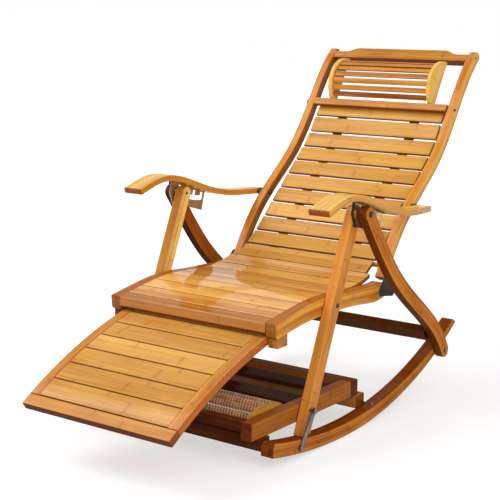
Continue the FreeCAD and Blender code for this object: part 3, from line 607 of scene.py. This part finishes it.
# A darker copy of the brown finish: painted shade for the low bars under the seat
SHADED_BAMBOO = BambooFinish(
    "shaded_bamboo", (0.34, 0.115, 0.018), (0.13, 0.034, 0.007), contrast=1.5, narrow=(0.55, 0.45, 0.45),
    coat=0.1)
# Near-black bamboo: painted shade on the massager's board and rear slat under the seat
UNDER_SHADE_BAMBOO = BambooFinish(
    "under_bamboo", (0.105, 0.028, 0.01), (0.04, 0.01, 0.005), contrast=1.4, coat=0.06)
CHEEK_BAMBOO = BambooFinish("roller_cheek_bamboo", (0.68, 0.33, 0.05), (0.4, 0.145, 0.018), edge_share=0.4)
SEAT_BAR_BAMBOO = BambooFinish(
    "seat_bar_bamboo", (0.62, 0.255, 0.042), (0.34, 0.11, 0.014), narrow=(0.96, 0.9, 0.85), contrast=1.2,
    coat=0.5, gloss=0.08)
DARK_BAMBOO = BambooFinish("dark_bamboo", (0.15, 0.043, 0.008), (0.06, 0.015, 0.003), contrast=1.4, coat=0.12)
AMBER_BAMBOO = BambooFinish("amber_bamboo", (0.62, 0.19, 0.016), (0.3, 0.07, 0.006), contrast=1.5, coat=0.25)
HEAD_BAMBOO = BambooFinish(
    "head_rail_bamboo", (0.66, 0.28, 0.038), (0.34, 0.11, 0.013), narrow=(0.42, 0.26, 0.22), contrast=1.5)
MIDDLE_BAMBOO = BambooFinish(
    "middle_rail_bamboo", (0.78, 0.37, 0.05), (0.46, 0.16, 0.018), narrow=(0.5, 0.34, 0.28), contrast=1.5)
PILLOW_BAMBOO = BambooFinish(
    "pillow_bamboo", (0.68, 0.27, 0.042), (0.3, 0.084, 0.01), strip=0.006, contrast=1.7,
    narrow=(0.5, 0.35, 0.3))
ZINC = MetalFinish("zinc_steel", (0.27, 0.235, 0.2), (0.11, 0.09, 0.075), 1.0, 0.32)
BRONZE = MetalFinish("bronze_plate", (0.04, 0.024, 0.014), (0.012, 0.008, 0.006), 0.2, 0.6)
KHAKI = MetalFinish(
    "khaki_plate", (0.55, 0.45, 0.28), (0.22, 0.17, 0.1), 0.9, 0.34, (0.035, 0.029, 0.022), (0.2775, 0.2802))
BEADS = BeadFinish("turned_beads", (0.84, 0.46, 0.19), (0.1, 0.032, 0.01))
WEBBING = WebbingFinish("dark_webbing", (0.075, 0.042, 0.022), (0.022, 0.012, 0.007))


def show(name: str, data: bpy.types.ID, place: Triple = (0.0, 0.0, 0.0),
         way: Triple | None = None) -> bpy.types.Object:
    """Puts a mesh, lamp or camera into the scene.

    Args:
        name: Name of the new object.
        data: The mesh, lamp or camera.
        place: Where it stands.
        way: Direction in which a lamp or camera looks.

    Returns:
        The new object.
    """
    shown = bpy.data.objects.new(name, data)
    shown.location = place
    if way is not None:
        shown.rotation_euler = Vector(way).to_track_quat("-Z", "Y").to_euler()
    bpy.context.scene.collection.objects.link(shown)
    return shown


class Workshop:
    """Makes dressed copies of CAD boards and hangs new pieces on their bodies.

    Args:
        frame: What the frame's load call returned.
    """

    def __init__(self, frame: dict) -> None:
        """Keeps the frame's CAD nodes."""
        self.nodes = frame["nodes"]
        self.made = 0

    def body_of(self, node: str) -> str:
        """Names the body that carries a CAD node."""
        return self.nodes[node]["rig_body"]

    def merged(self, node: str) -> Mesh:
        """Copies a CAD node's mesh with its loose triangles joined and flats made whole.

        Args:
            node: Name of the CAD node.

        Returns:
            The joined copy.
        """
        bm = bmesh.new()
        bm.from_mesh(self.nodes[node].data)
        bmesh.ops.remove_doubles(bm, verts=bm.verts, dist=JOIN_WITHIN)
        bmesh.ops.dissolve_limit(bm, angle_limit=math.radians(FLAT_DEG), use_dissolve_boundaries=False,
                                 verts=bm.verts, edges=bm.edges, delimit=set())
        return bm

    def finish_piece(self, bm: Mesh, name: str, body: str, slot: str, material: bpy.types.Material,
                     keep_normals: bool = True) -> bpy.types.Object:
        """Turns a bmesh into a shaded piece that rides on a body.

        Args:
            bm: The finished mesh, which is freed.
            name: Name of the piece.
            body: Name of the body that carries it.
            slot: The record's material slot; not used.
            material: The material to wear.
            keep_normals: Whether a weighted normal modifier keeps wide flats flat.

        Returns:
            The new object.
        """
        mesh = bpy.data.meshes.new(name)
        bm.to_mesh(mesh)
        bm.free()
        mesh.materials.append(material)
        mesh.shade_smooth()
        mesh.set_sharp_from_angle(angle=math.radians(SHADE_DEG))
        piece = show(name, mesh)
        if keep_normals:
            piece.modifiers.new("flat_faces", "WEIGHTED_NORMAL").keep_sharp = True
        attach(piece, body)
        self.made += 1
        return piece

    def dress(self, finish: BambooFinish, grain: Grain, round_over: float, *nodes: str,
              slot: str = "bamboo", undercut: float = 0.0) -> None:
        """Dresses CAD nodes as bamboo, with rounded edges, fibre directions and a tone per board.

        Args:
            finish: The bamboo finish.
            grain: Which way the fibres run.
            round_over: Radius of the rounded edges, in metres.
            *nodes: Names of the CAD nodes that are replaced.
            slot: The record's material slot.
            undercut: How far the underside is planed away, in metres.
        """
        for node in nodes:
            bm = self.merged(node)
            heights = [vert.co.z for vert in bm.verts]
            middle = (min(heights) + max(heights)) / 2
            for vert in bm.verts:
                if vert.co.z < middle:
                    vert.co.z += undercut
            lines = []
            if grain is Grain.PROFILE:
                lines = [centre_line(island) for island in mesh_islands(bm)]
            rims = round_edges(bm, round_over)
            if len(lines) == 1:
                cut_along(bm, lines[0])
            write_grain(bm, lines, seed=sum(map(ord, node)))
            rim = bm.faces.layers.float.new("rim")
            for face in bm.faces:
                face[rim] = float(face in rims)
            piece = self.finish_piece(bm, "dressed_" + node, self.body_of(node), slot, finish.material())
            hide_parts(node)

    def coat(self, finish: MetalFinish, *nodes: str) -> None:
        """Gives CAD nodes that stay a better material.

        Args:
            finish: The finish to wear.
            *nodes: Names of the CAD nodes.
        """
        for node in nodes:
            for material_slot in self.nodes[node].material_slots:
                material_slot.material = finish.material()


def connected(items: Iterable, beside: Callable) -> list[list]:
    """Splits mesh elements into groups that hang together, in the same order each time.

    Args:
        items: The vertices or edges to split.
        beside: Lists the elements next to one of them.

    Returns:
        The elements of each group.
    """
    left = dict.fromkeys(items)
    groups = []
    while left:
        stack = [left.popitem()[0]]
        group = []
        while stack:
            item = stack.pop()
            group.append(item)
            for other in beside(item):
                if other in left:
                    del left[other]
                    stack.append(other)
        groups.append(group)
    return groups


def mesh_islands(bm: Mesh) -> list[list[bmesh.types.BMVert]]:
    """Splits a mesh into its separate solids.

    Args:
        bm: The mesh.

    Returns:
        The vertices of each solid, from the chair's front to its back.
    """
    islands = connected(bm.verts, lambda vert: [edge.other_vert(vert) for edge in vert.link_edges])
    return sorted(islands, key=lambda island: [round(sum(v.co[axis] for v in island) / len(island), 4)
                                               for axis in (1, 0)])


def spread(points: np.ndarray) -> tuple[np.ndarray, np.ndarray]:
    """Finds the middle of points and the direction in which they reach furthest.

    Args:
        points: Points (Y, Z).

    Returns:
        Their middle, and the direction, towards the back or else up.
    """
    middle = points.mean(0)
    way = np.linalg.svd(points - middle, full_matrices=False)[2][0]
    lead = way[0] if abs(way[0]) > TINY else way[1]
    return middle, way * (1 if lead >= 0 else -1)


def centre_line(island: list[bmesh.types.BMVert]) -> np.ndarray:
    """Finds the line through the middle of a bent board, seen from the side.

    Args:
        island: The board's vertices.

    Returns:
        Points (Y, Z) along the middle, from one end to the other.
    """
    edges = dict.fromkeys(edge for vert in island for edge in vert.link_edges)
    starts = np.array([(e.verts[0].co.y, e.verts[0].co.z) for e in edges])
    ends = np.array([(e.verts[1].co.y, e.verts[1].co.z) for e in edges])
    middle, way = spread(np.concatenate([starts, ends]))
    side = np.array([-way[1], way[0]])
    t0, t1 = (starts - middle) @ way, (ends - middle) @ way
    s0, s1 = (starts - middle) @ side, (ends - middle) @ side
    low, high = min(t0.min(), t1.min()), max(t0.max(), t1.max())
    line = []
    for t in np.linspace(low, high, LINE_CUTS)[1:-1]:
        hit = (t0 - t) * (t1 - t) < 0
        if hit.sum() < 2:
            continue
        s = s0[hit] + (s1[hit] - s0[hit]) * (t - t0[hit]) / (t1[hit] - t0[hit])
        line.append(middle + way * t + side * (s.min() + s.max()) / 2)
    line = np.array(line)
    smooth = line.copy()
    smooth[1:-1] = (line[:-2] + 2 * line[1:-1] + line[2:]) / 4
    first = smooth[0] + (smooth[0] - smooth[1]) * LINE_OVERRUN
    last = smooth[-1] + (smooth[-1] - smooth[-2]) * LINE_OVERRUN
    return np.vstack([first, smooth, last])


def place_on_line(line: np.ndarray, point: np.ndarray) -> tuple[float, float]:
    """Measures a point along a line and across it.

    Args:
        line: Points (Y, Z) of the line.
        point: The point (Y, Z).

    Returns:
        Distance along the line, and distance across it.
    """
    a, b = line[:-1], line[1:]
    step = b - a
    length = np.linalg.norm(step, axis=1)
    start = np.concatenate([[0.0], np.cumsum(length)[:-1]])
    share = np.clip(((point - a) * step).sum(1) / length ** 2, 0.0, 1.0)
    gap = point - a - step * share[:, None]
    best = int(np.argmin((gap ** 2).sum(1)))
    side = (step[best][0] * gap[best][1] - step[best][1] * gap[best][0]) / length[best]
    return float(start[best] + share[best] * length[best]), float(side)


def round_edges(bm: Mesh, radius: float) -> set[bmesh.types.BMFace]:
    """Rounds the long outer edges of boards, and leaves grooves, pockets and bolt holes crisp.

    Args:
        bm: The mesh.
        radius: Radius of the rounding.

    Returns:
        The faces of the rounding.
    """
    sharp = [e for e in bm.edges
             if len(e.link_faces) == 2 and e.calc_face_angle(0.0) > math.radians(ROUND_DEG)]
    concave = {e for e in sharp if not e.is_convex}
    open_edges = [e for e in sharp
                  if not any(other in concave for face in e.link_faces for other in face.edges)]
    chosen = []
    for group in connected(open_edges, lambda e: [other for v in e.verts for other in v.link_edges]):
        corners = np.array([v.co[:] for e in group for v in e.verts])
        if np.linalg.norm(np.ptp(corners, axis=0)) > MIN_RUN:
            chosen.extend(group)
    if not chosen or radius <= 0:
        return set()
    made = bmesh.ops.bevel(bm, geom=chosen, offset=radius, offset_type="OFFSET", segments=2,
                           profile=0.5, affect="EDGES", clamp_overlap=False, material=-1, loop_slide=True)
    return set(made["faces"])


def cut_along(bm: Mesh, line: np.ndarray) -> None:
    """Cuts a bent board square to its line at even distances.

    Args:
        bm: The mesh.
        line: Points (Y, Z) of the board's line.
    """
    lengths = np.linalg.norm(np.diff(line, axis=0), axis=1)
    at = np.concatenate([[0.0], np.cumsum(lengths)])
    for distance in np.arange(STATIONS, at[-1], STATIONS):
        y, z = np.interp(distance, at, line[:, 0]), np.interp(distance, at, line[:, 1])
        index = min(int(np.searchsorted(at, distance)), len(line) - 1)
        way = line[index] - line[index - 1]
        bmesh.ops.bisect_plane(bm, geom=[*bm.verts, *bm.edges, *bm.faces], dist=TINY,
                               plane_co=(0.0, y, z), plane_no=(0.0, *way))


def write_grain(bm: Mesh, lines: list[np.ndarray], seed: int) -> None:
    """Writes where each point lies in its board, each board's tone, and which faces are its edges.

    Args:
        bm: The mesh.
        lines: The boards' lines where they are bent, and none where fibres run across the chair.
        seed: Seed of the tones.
    """
    bm.normal_update()
    grain_layer = bm.verts.layers.float_vector.new("grain")
    tone_layer, reach_layer = map(bm.verts.layers.float.new, ("tone", "reach"))
    narrow_layer, inner_layer, end_layer = map(bm.faces.layers.float.new, ("narrow", "inner", "end"))
    dice = np.random.default_rng(seed)
    bent = bool(lines)
    for index, island in enumerate(mesh_islands(bm)):
        tone = dice.uniform(0.0, 1.0)
        shift = dice.uniform(0.0, PATTERN_SHIFT)
        points = np.array([v.co[:] for v in island])
        side = math.copysign(1.0, points[:, 0].mean())
        middle, way = spread(points[:, 1:])
        if bent:
            places = np.array([place_on_line(lines[index], point[1:]) for point in points])
            along, across, deep = places[:, 0], places[:, 1], points[:, 0]
            near = np.abs(along[:, None] - along[None, :]) < WIDTH_WINDOW
            low = np.where(near, across[None, :], np.inf).min(1)
            high = np.where(near, across[None, :], -np.inf).max(1)
        else:
            gap = points[:, 1:] - middle
            along, across = points[:, 0], gap @ way
            deep = gap @ np.array([-way[1], way[0]]) + PLACE_SHIFT
            low, high = across.min(), across.max()
        reach = 2 * (across - low) / np.maximum(high - low, TINY) - 1
        for number, vert in enumerate(island):
            vert[grain_layer] = (along[number] + shift, across[number] + PLACE_SHIFT, deep[number])
            vert[tone_layer] = tone
            vert[reach_layer] = float(reach[number])
        for face in {face for vert in island for face in vert.link_faces}:
            across_face = abs(face.normal.y * way[0] + face.normal.z * way[1]) > FACING
            off_profile = abs(face.normal.x) < FACING
            inwards = face.normal.x * side < -FACING
            runs = [vert[grain_layer][0] - shift for vert in face.verts]
            at_end = off_profile and (max(runs) < along.min() + END_DEPTH
                                      or min(runs) > along.max() - END_DEPTH)
            face[narrow_layer] = float(off_profile and not at_end if bent else across_face)
            face[inner_layer] = float(inwards and bent)
            face[end_layer] = float(at_end if bent else not off_profile)


@dataclass
class SubAssembly:
    """A group of pieces that is built in one go.

    Args:
        shop: Where its boards are dressed.
    """

    shop: Workshop

    def build(self) -> None:
        """Dresses the pieces, which each group does its own way."""
        raise NotImplementedError


@dataclass
class RockerBase(SubAssembly):
    """The two rockers, their crossbars and the screws through them.

    Args:
        round_over: Radius of the boards' edges.
    """

    round_over: float = 2.0 * MM

    def build(self) -> None:
        """Dresses the rockers and crossbars."""
        dress, coat, radius = self.shop.dress, self.shop.coat, self.round_over
        dress(ROCKER_BAMBOO, Grain.PROFILE, radius, "rocker_left", "rocker_right")
        dress(SHADED_BAMBOO, Grain.ACROSS, radius, "base_crossbar_front")
        dress(BROWN_BAMBOO, Grain.ACROSS, radius, "base_crossbar_rear")
        coat(ZINC, "base_screws", "rocker_bolts")


@dataclass
class FootMassager(SubAssembly):
    """The frame between the rockers, with four rows of turned beads.

    Args:
        rows: Places (Y, Z) of the rollers in the chair's frame.
        half_length: Half the length of a roller.
        beads: Beads on a roller.
        bead_radius: Radius of a bead's crown.
        groove_radius: Radius between beads.
        bore_radius: Radius of the bore.
        bead_shares: Where a bead's outline has its points, as shares of the bead's length.
        spin_steps: Flats round a roller.
        frame_round: Radius of the edges of beams and bars.
        board_round: Radius of the boards' edges.
        cheek_round: Radius of the cheeks' edges.
        bar_undercut: How much of the front bar's underside is planed away.
    """

    rows: tuple[tuple[float, float], ...] = ((-0.3458, 0.101), (-0.3218, 0.110), (-0.2948, 0.1125),
                                             (-0.2668, 0.111))
    half_length: float = 0.1995
    beads: int = 48
    bead_radius: float = 8.9 * MM
    groove_radius: float = 6.2 * MM
    bore_radius: float = 2.6 * MM
    bead_shares: tuple[float, ...] = (0.06, 0.24, 0.5, 0.76, 0.94)
    spin_steps: int = 16
    frame_round: float = 1.2 * MM
    board_round: float = 1.5 * MM
    cheek_round: float = 0.8 * MM
    bar_undercut: float = 13 * MM

    def build(self) -> None:
        """Dresses the frame and turns the rollers."""
        dress, radius = self.shop.dress, self.frame_round
        dress(BEAM_BAMBOO, Grain.PROFILE, radius, "massage_beam_left", "massage_beam_right")
        dress(SHADED_BAMBOO, Grain.ACROSS, radius, "massage_front_bar", undercut=self.bar_undercut)
        dress(SHADED_BAMBOO, Grain.ACROSS, radius, "massage_rear_bar")
        dress(UNDER_SHADE_BAMBOO, Grain.ACROSS, self.board_round, "massage_board", "massage_rear_slat")
        dress(CHEEK_BAMBOO, Grain.PROFILE, self.cheek_round, "massage_cheeks", slot="pale_bamboo")
        self.shop.coat(ZINC, "massage_axles")
        for number, row in enumerate(self.rows, 1):
            self.roller(number, row)

    def roller(self, number: int, row: tuple[float, float]) -> None:
        """Spins one roller's bead profile round its axle.

        Args:
            number: Which roller, from the front.
            row: Place (Y, Z) of its axis.
        """
        bm = bmesh.new()
        pitch = 2 * self.half_length / self.beads
        rise = self.bead_radius - self.groove_radius
        outline = [(-self.half_length, self.bore_radius)]
        for bead in range(self.beads):
            left = -self.half_length + bead * pitch
            for share in self.bead_shares:
                bulge = math.sqrt(1 - (2 * share - 1) ** 2)
                outline.append((left + share * pitch, self.groove_radius + rise * bulge))
        outline.append((self.half_length, self.bore_radius))
        verts = [bm.verts.new((x, row[0], row[1] + r)) for x, r in outline]
        for a, b in zip(verts[:-1], verts[1:]):
            bm.edges.new((a, b))
        bmesh.ops.spin(bm, geom=[*bm.verts, *bm.edges], cent=(0.0, *row), axis=(1.0, 0.0, 0.0),
                       angle=math.tau, steps=self.spin_steps, use_merge=True)
        bmesh.ops.remove_doubles(bm, verts=bm.verts, dist=TINY)
        bmesh.ops.recalc_face_normals(bm, faces=bm.faces)
        # How far up a bead each point is, from which the finish paints shade in the grooves
        crown = bm.verts.layers.float.new("crown")
        for vert in bm.verts:
            radius = math.hypot(vert.co.y - row[0], vert.co.z - row[1])
            vert[crown] = (radius - self.groove_radius) / rise
        name = "massage_roller_%d" % number
        piece = self.shop.finish_piece(bm, "beads_" + name, self.shop.body_of(name), "beads",
                                       BEADS.material(), False)
        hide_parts(name)


@dataclass
class LegSet(SubAssembly):
    """Front and rear legs, the rear crossbar, and the straps that lock the front legs.

    Args:
        round_over: Radius of the legs' edges.
    """

    round_over: float = 2.0 * MM

    def build(self) -> None:
        """Dresses the legs and plates their ironwork."""
        dress, coat, radius = self.shop.dress, self.shop.coat, self.round_over
        dress(ORANGE_LEG_BAMBOO, Grain.PROFILE, radius, "front_leg_left")
        dress(FRONT_LEG_BAMBOO, Grain.PROFILE, radius, "front_leg_right")
        dress(NEAR_LEG_BAMBOO, Grain.PROFILE, radius, "rear_leg_left")
        dress(REAR_LEG_BAMBOO, Grain.PROFILE, radius, "rear_leg_right")
        dress(DARK_BAMBOO, Grain.ACROSS, radius, "rear_leg_crossbar")
        coat(ZINC, "latch_strap_left", "latch_strap_right", "latch_pivot_bolts", "latch_studs",
             "rear_leg_screws")
        coat(BRONZE, "seat_pivot_bolts", "top_bolts")


@dataclass
class Seat(SubAssembly):
    """The double laminated seat rails, bullnose front bar, slats and hinge plates.

    Args:
        rail_round: Radius of the rails' edges.
        slat_round: Radius of the slats' edges.
        front_round: Radius of the front bar's edges.
        rear_round: Radius of the rear bar's edges.
        block_round: Radius of the guide blocks' edges.
        bar_undercut: How much of the front bar's underside is planed away over the footrest.
    """

    rail_round: float = 2.4 * MM
    slat_round: float = 1.4 * MM
    front_round: float = 1.2 * MM
    rear_round: float = 1.6 * MM
    block_round: float = 1.0 * MM
    bar_undercut: float = 10 * MM

    def build(self) -> None:
        """Dresses the seat."""
        dress, coat = self.shop.dress, self.shop.coat
        dress(SEAT_RAIL_BAMBOO, Grain.PROFILE, self.rail_round, "seat_rail_left", "seat_rail_right")
        dress(SEAT_BAMBOO, Grain.ACROSS, self.slat_round, "seat_slats")
        dress(SEAT_BAR_BAMBOO, Grain.ACROSS, self.front_round, "seat_front_bar", undercut=self.bar_undercut)
        dress(AMBER_BAMBOO, Grain.ACROSS, self.rear_round, "seat_rear_bar")
        dress(BROWN_BAMBOO, Grain.PROFILE, self.block_round, "footrest_guide_blocks")
        coat(BRONZE, "hinge_plates")
        coat(ZINC, "back_pivot_bolts", "footrest_guide_pins")


@dataclass
class Footrest(SubAssembly):
    """The footrest's curved frame and its slats.

    Args:
        rail_round: Radius of the rails' edges.
        bar_round: Radius of the end bars' edges.
        slat_round: Radius of the slats' edges.
    """

    rail_round: float = 1.6 * MM
    bar_round: float = 1.8 * MM
    slat_round: float = 1.2 * MM

    def build(self) -> None:
        """Dresses the footrest."""
        dress = self.shop.dress
        dress(FOOT_RAIL_BAMBOO, Grain.PROFILE, self.rail_round, "footrest_rail_left", "footrest_rail_right")
        dress(FOOT_END_BAMBOO, Grain.ACROSS, self.bar_round, "footrest_front_bar", "footrest_rear_bar")
        dress(FOOT_BAMBOO, Grain.ACROSS, self.slat_round, "footrest_slats")


@dataclass
class Backrest(SubAssembly):
    """The bent back rails, the hanging slats on their webbing, and the slatted pillow.

    Args:
        rail_round: Radius of the bent rails' edges.
        slat_round: Radius of the back slats' edges.
        cross_round: Radius of the edges of the top and middle rail.
        pillow_round: Radius of the pillow slats' edges.
        cheek_round: Radius of the pillow cheeks' edges.
        tone_seed: Seed of the webbing's tones.
    """

    rail_round: float = 3.0 * MM
    slat_round: float = 1.6 * MM
    cross_round: float = 2.0 * MM
    pillow_round: float = 0.7 * MM
    cheek_round: float = 1.5 * MM
    tone_seed: int = 5

    def build(self) -> None:
        """Dresses the back."""
        dress = self.shop.dress
        dress(BACK_RAIL_BAMBOO, Grain.PROFILE, self.rail_round, "back_rail_left", "back_rail_right")
        dress(BACK_BAMBOO, Grain.ACROSS, self.slat_round, "back_slats")
        dress(HEAD_BAMBOO, Grain.ACROSS, self.cross_round, "back_top_rail")
        dress(MIDDLE_BAMBOO, Grain.ACROSS, self.cross_round, "back_middle_rail")
        dress(PILLOW_BAMBOO, Grain.ACROSS, self.pillow_round, "pillow_slats")
        dress(CREAM_BAMBOO, Grain.PROFILE, self.cheek_round, "pillow_cheeks", slot="pale_bamboo")
        dress(BROWN_BAMBOO, Grain.ACROSS, 0.0, "webbing_anchor_bar")
        self.shop.coat(BRONZE, "back_rail_screws")
        self.webbing()

    def webbing(self) -> None:
        """Weaves the two straps that the slats hang on."""
        bm = self.shop.merged("webbing_straps")
        lines = [centre_line(island) for island in mesh_islands(bm)]
        write_grain(bm, lines, self.tone_seed)
        body = self.shop.body_of("webbing_straps")
        piece = self.shop.finish_piece(bm, "woven_straps", body, "webbing", WEBBING.material())
        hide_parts("webbing_straps")


@dataclass
class Armrests(SubAssembly):
    """The bent armrests and the comb brackets under them.

    Args:
        round_over: Radius of the armrests' edges.
    """

    round_over: float = 3.5 * MM

    def build(self) -> None:
        """Dresses the armrests and lacquers their brackets."""
        self.shop.dress(ARM_BAMBOO, Grain.PROFILE, self.round_over, "armrest_left", "armrest_right")
        self.shop.coat(KHAKI, "comb_bracket_left", "comb_bracket_right")
        self.shop.coat(BRONZE, "armrest_pivot_bolts")


@dataclass
class Studio:
    """White floor, soft lamps and the camera at the photograph's angle.

    Args:
        camera_at: Where the camera stands, in the chair's frame.
        camera_way: The direction it looks in.
        lens: Focal length in millimetres.
        sensor: Width of the sensor in millimetres.
        sky: Strength of the light from all round.
        floor_half: Half the width of the floor.
        floor_tone: How pale the floor is.
        floor_drop: How far the floor lies under the rockers.
        lift: Strength that is added to the floor for the camera, near the chair.
        fade: Distances from the chair between which the floor turns fully white.
        aim: Point that the lamps face.
        lamps: Name, place, width and power in watts of each lamp.
    """

    camera_at: Triple = (1.874, -2.5878, 1.042)
    camera_way: Triple = (-0.5878, 0.7855, -0.1935)
    lens: float = 92.376
    sensor: float = 36.0
    sky: float = 0.48
    floor_half: float = 14.0
    floor_tone: float = 0.6
    floor_drop: float = 0.5 * MM
    lift: float = 0.55
    fade: tuple[float, float] = (1.4, 4.0)
    aim: Triple = (0.0, 0.0, 0.4)
    lamps: tuple[tuple[str, Triple, float, float], ...] = (
        ("key", (-2.8, -1.5, 3.6), 2.8, 120.0),
        ("fill", (3.4, -2.2, 2.2), 4.6, 120.0),
    )

    def build(self) -> None:
        """Sets up the floor, world, lamps and camera."""
        self.floor()
        self.world()
        for name, place, width, power in self.lamps:
            lamp = bpy.data.lights.new(name, "AREA")
            lamp.size, lamp.energy = width, power
            show(name, lamp, place, Vector(self.aim) - Vector(place))
        data = bpy.data.cameras.new("camera")
        data.lens, data.sensor_width = self.lens, self.sensor
        bpy.context.scene.camera = show("camera", data, self.camera_at, self.camera_way)
        bpy.context.scene.view_settings.view_transform = "Standard"

    def floor(self) -> None:
        """Lays a white floor that keeps the chair's soft shadow."""
        bm = bmesh.new()
        bmesh.ops.create_grid(bm, x_segments=1, y_segments=1, size=self.floor_half)
        mesh = bpy.data.meshes.new("floor")
        bm.to_mesh(mesh)
        bm.free()
        mesh.materials.append(self.floor_paint())
        floor = show("floor", mesh, (0.0, 0.0, -self.floor_drop))
        floor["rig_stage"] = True

    def floor_paint(self) -> bpy.types.Material:
        """Mixes a pale floor that looks white to the camera and fades into the white behind it.

        Returns:
            The floor's material.
        """
        paint = bpy.data.materials.new("white_floor")
        sheet = NodeSheet(paint)
        tone = self.floor_tone
        sheet.set(Base_Color=(tone, tone, tone, 1.0), Roughness=0.9, Specular_IOR_Level=0.05)
        place = sheet.node("TexCoord").outputs["Object"]
        away = sheet.node("VectorMath", place, operation="LENGTH").outputs["Value"]
        fade = sheet.ramp(away, *self.fade, self.lift, 1.0)
        path = sheet.node("LightPath")
        seen = sheet.math("MAXIMUM", path.outputs["Is Camera Ray"], path.outputs["Is Glossy Ray"])
        glow = sheet.node("Emission")
        sheet.feed(glow.inputs["Strength"], sheet.math("MULTIPLY", seen, fade))
        both = sheet.node("AddShader", sheet.shader.outputs[0], glow.outputs[0])
        sheet.feed(sheet.surface, both.outputs[0])
        return paint

    def world(self) -> None:
        """Makes the surroundings white to the camera and in reflections, and softer as light."""
        world = bpy.data.worlds.new("studio")
        bpy.context.scene.world = world
        sheet = NodeSheet(world, "Background", "OutputWorld")
        path = sheet.node("LightPath")
        seen = path.outputs["Is Camera Ray"]
        for kind in ("Is Glossy Ray", "Is Transmission Ray"):
            seen = sheet.math("MAXIMUM", seen, path.outputs[kind])
        sheet.set(Color=(*WHITE, 1.0), Strength=sheet.ramp(seen, 0.0, 1.0, self.sky, 1.0))


def corners() -> list[list[float]]:
    """Lists the shown object's lowest and highest corner as plain numbers."""
    return [[float(value) for value in corner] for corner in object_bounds()]


def main() -> None:
    """Builds every sub-assembly in order."""
    logging.basicConfig(level=logging.INFO, format="%(message)s")
    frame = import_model()
    shop = Workshop(frame)
    for kind in (RockerBase, FootMassager, LegSet, Seat, Footrest, Backrest, Armrests):
        before = shop.made
        kind(shop).build()
        LOG.info("%s: %d pieces", kind.__name__, shop.made - before)
    Studio().build()
    LOG.info("studio ready")


if __name__ == "__main__":
    main()
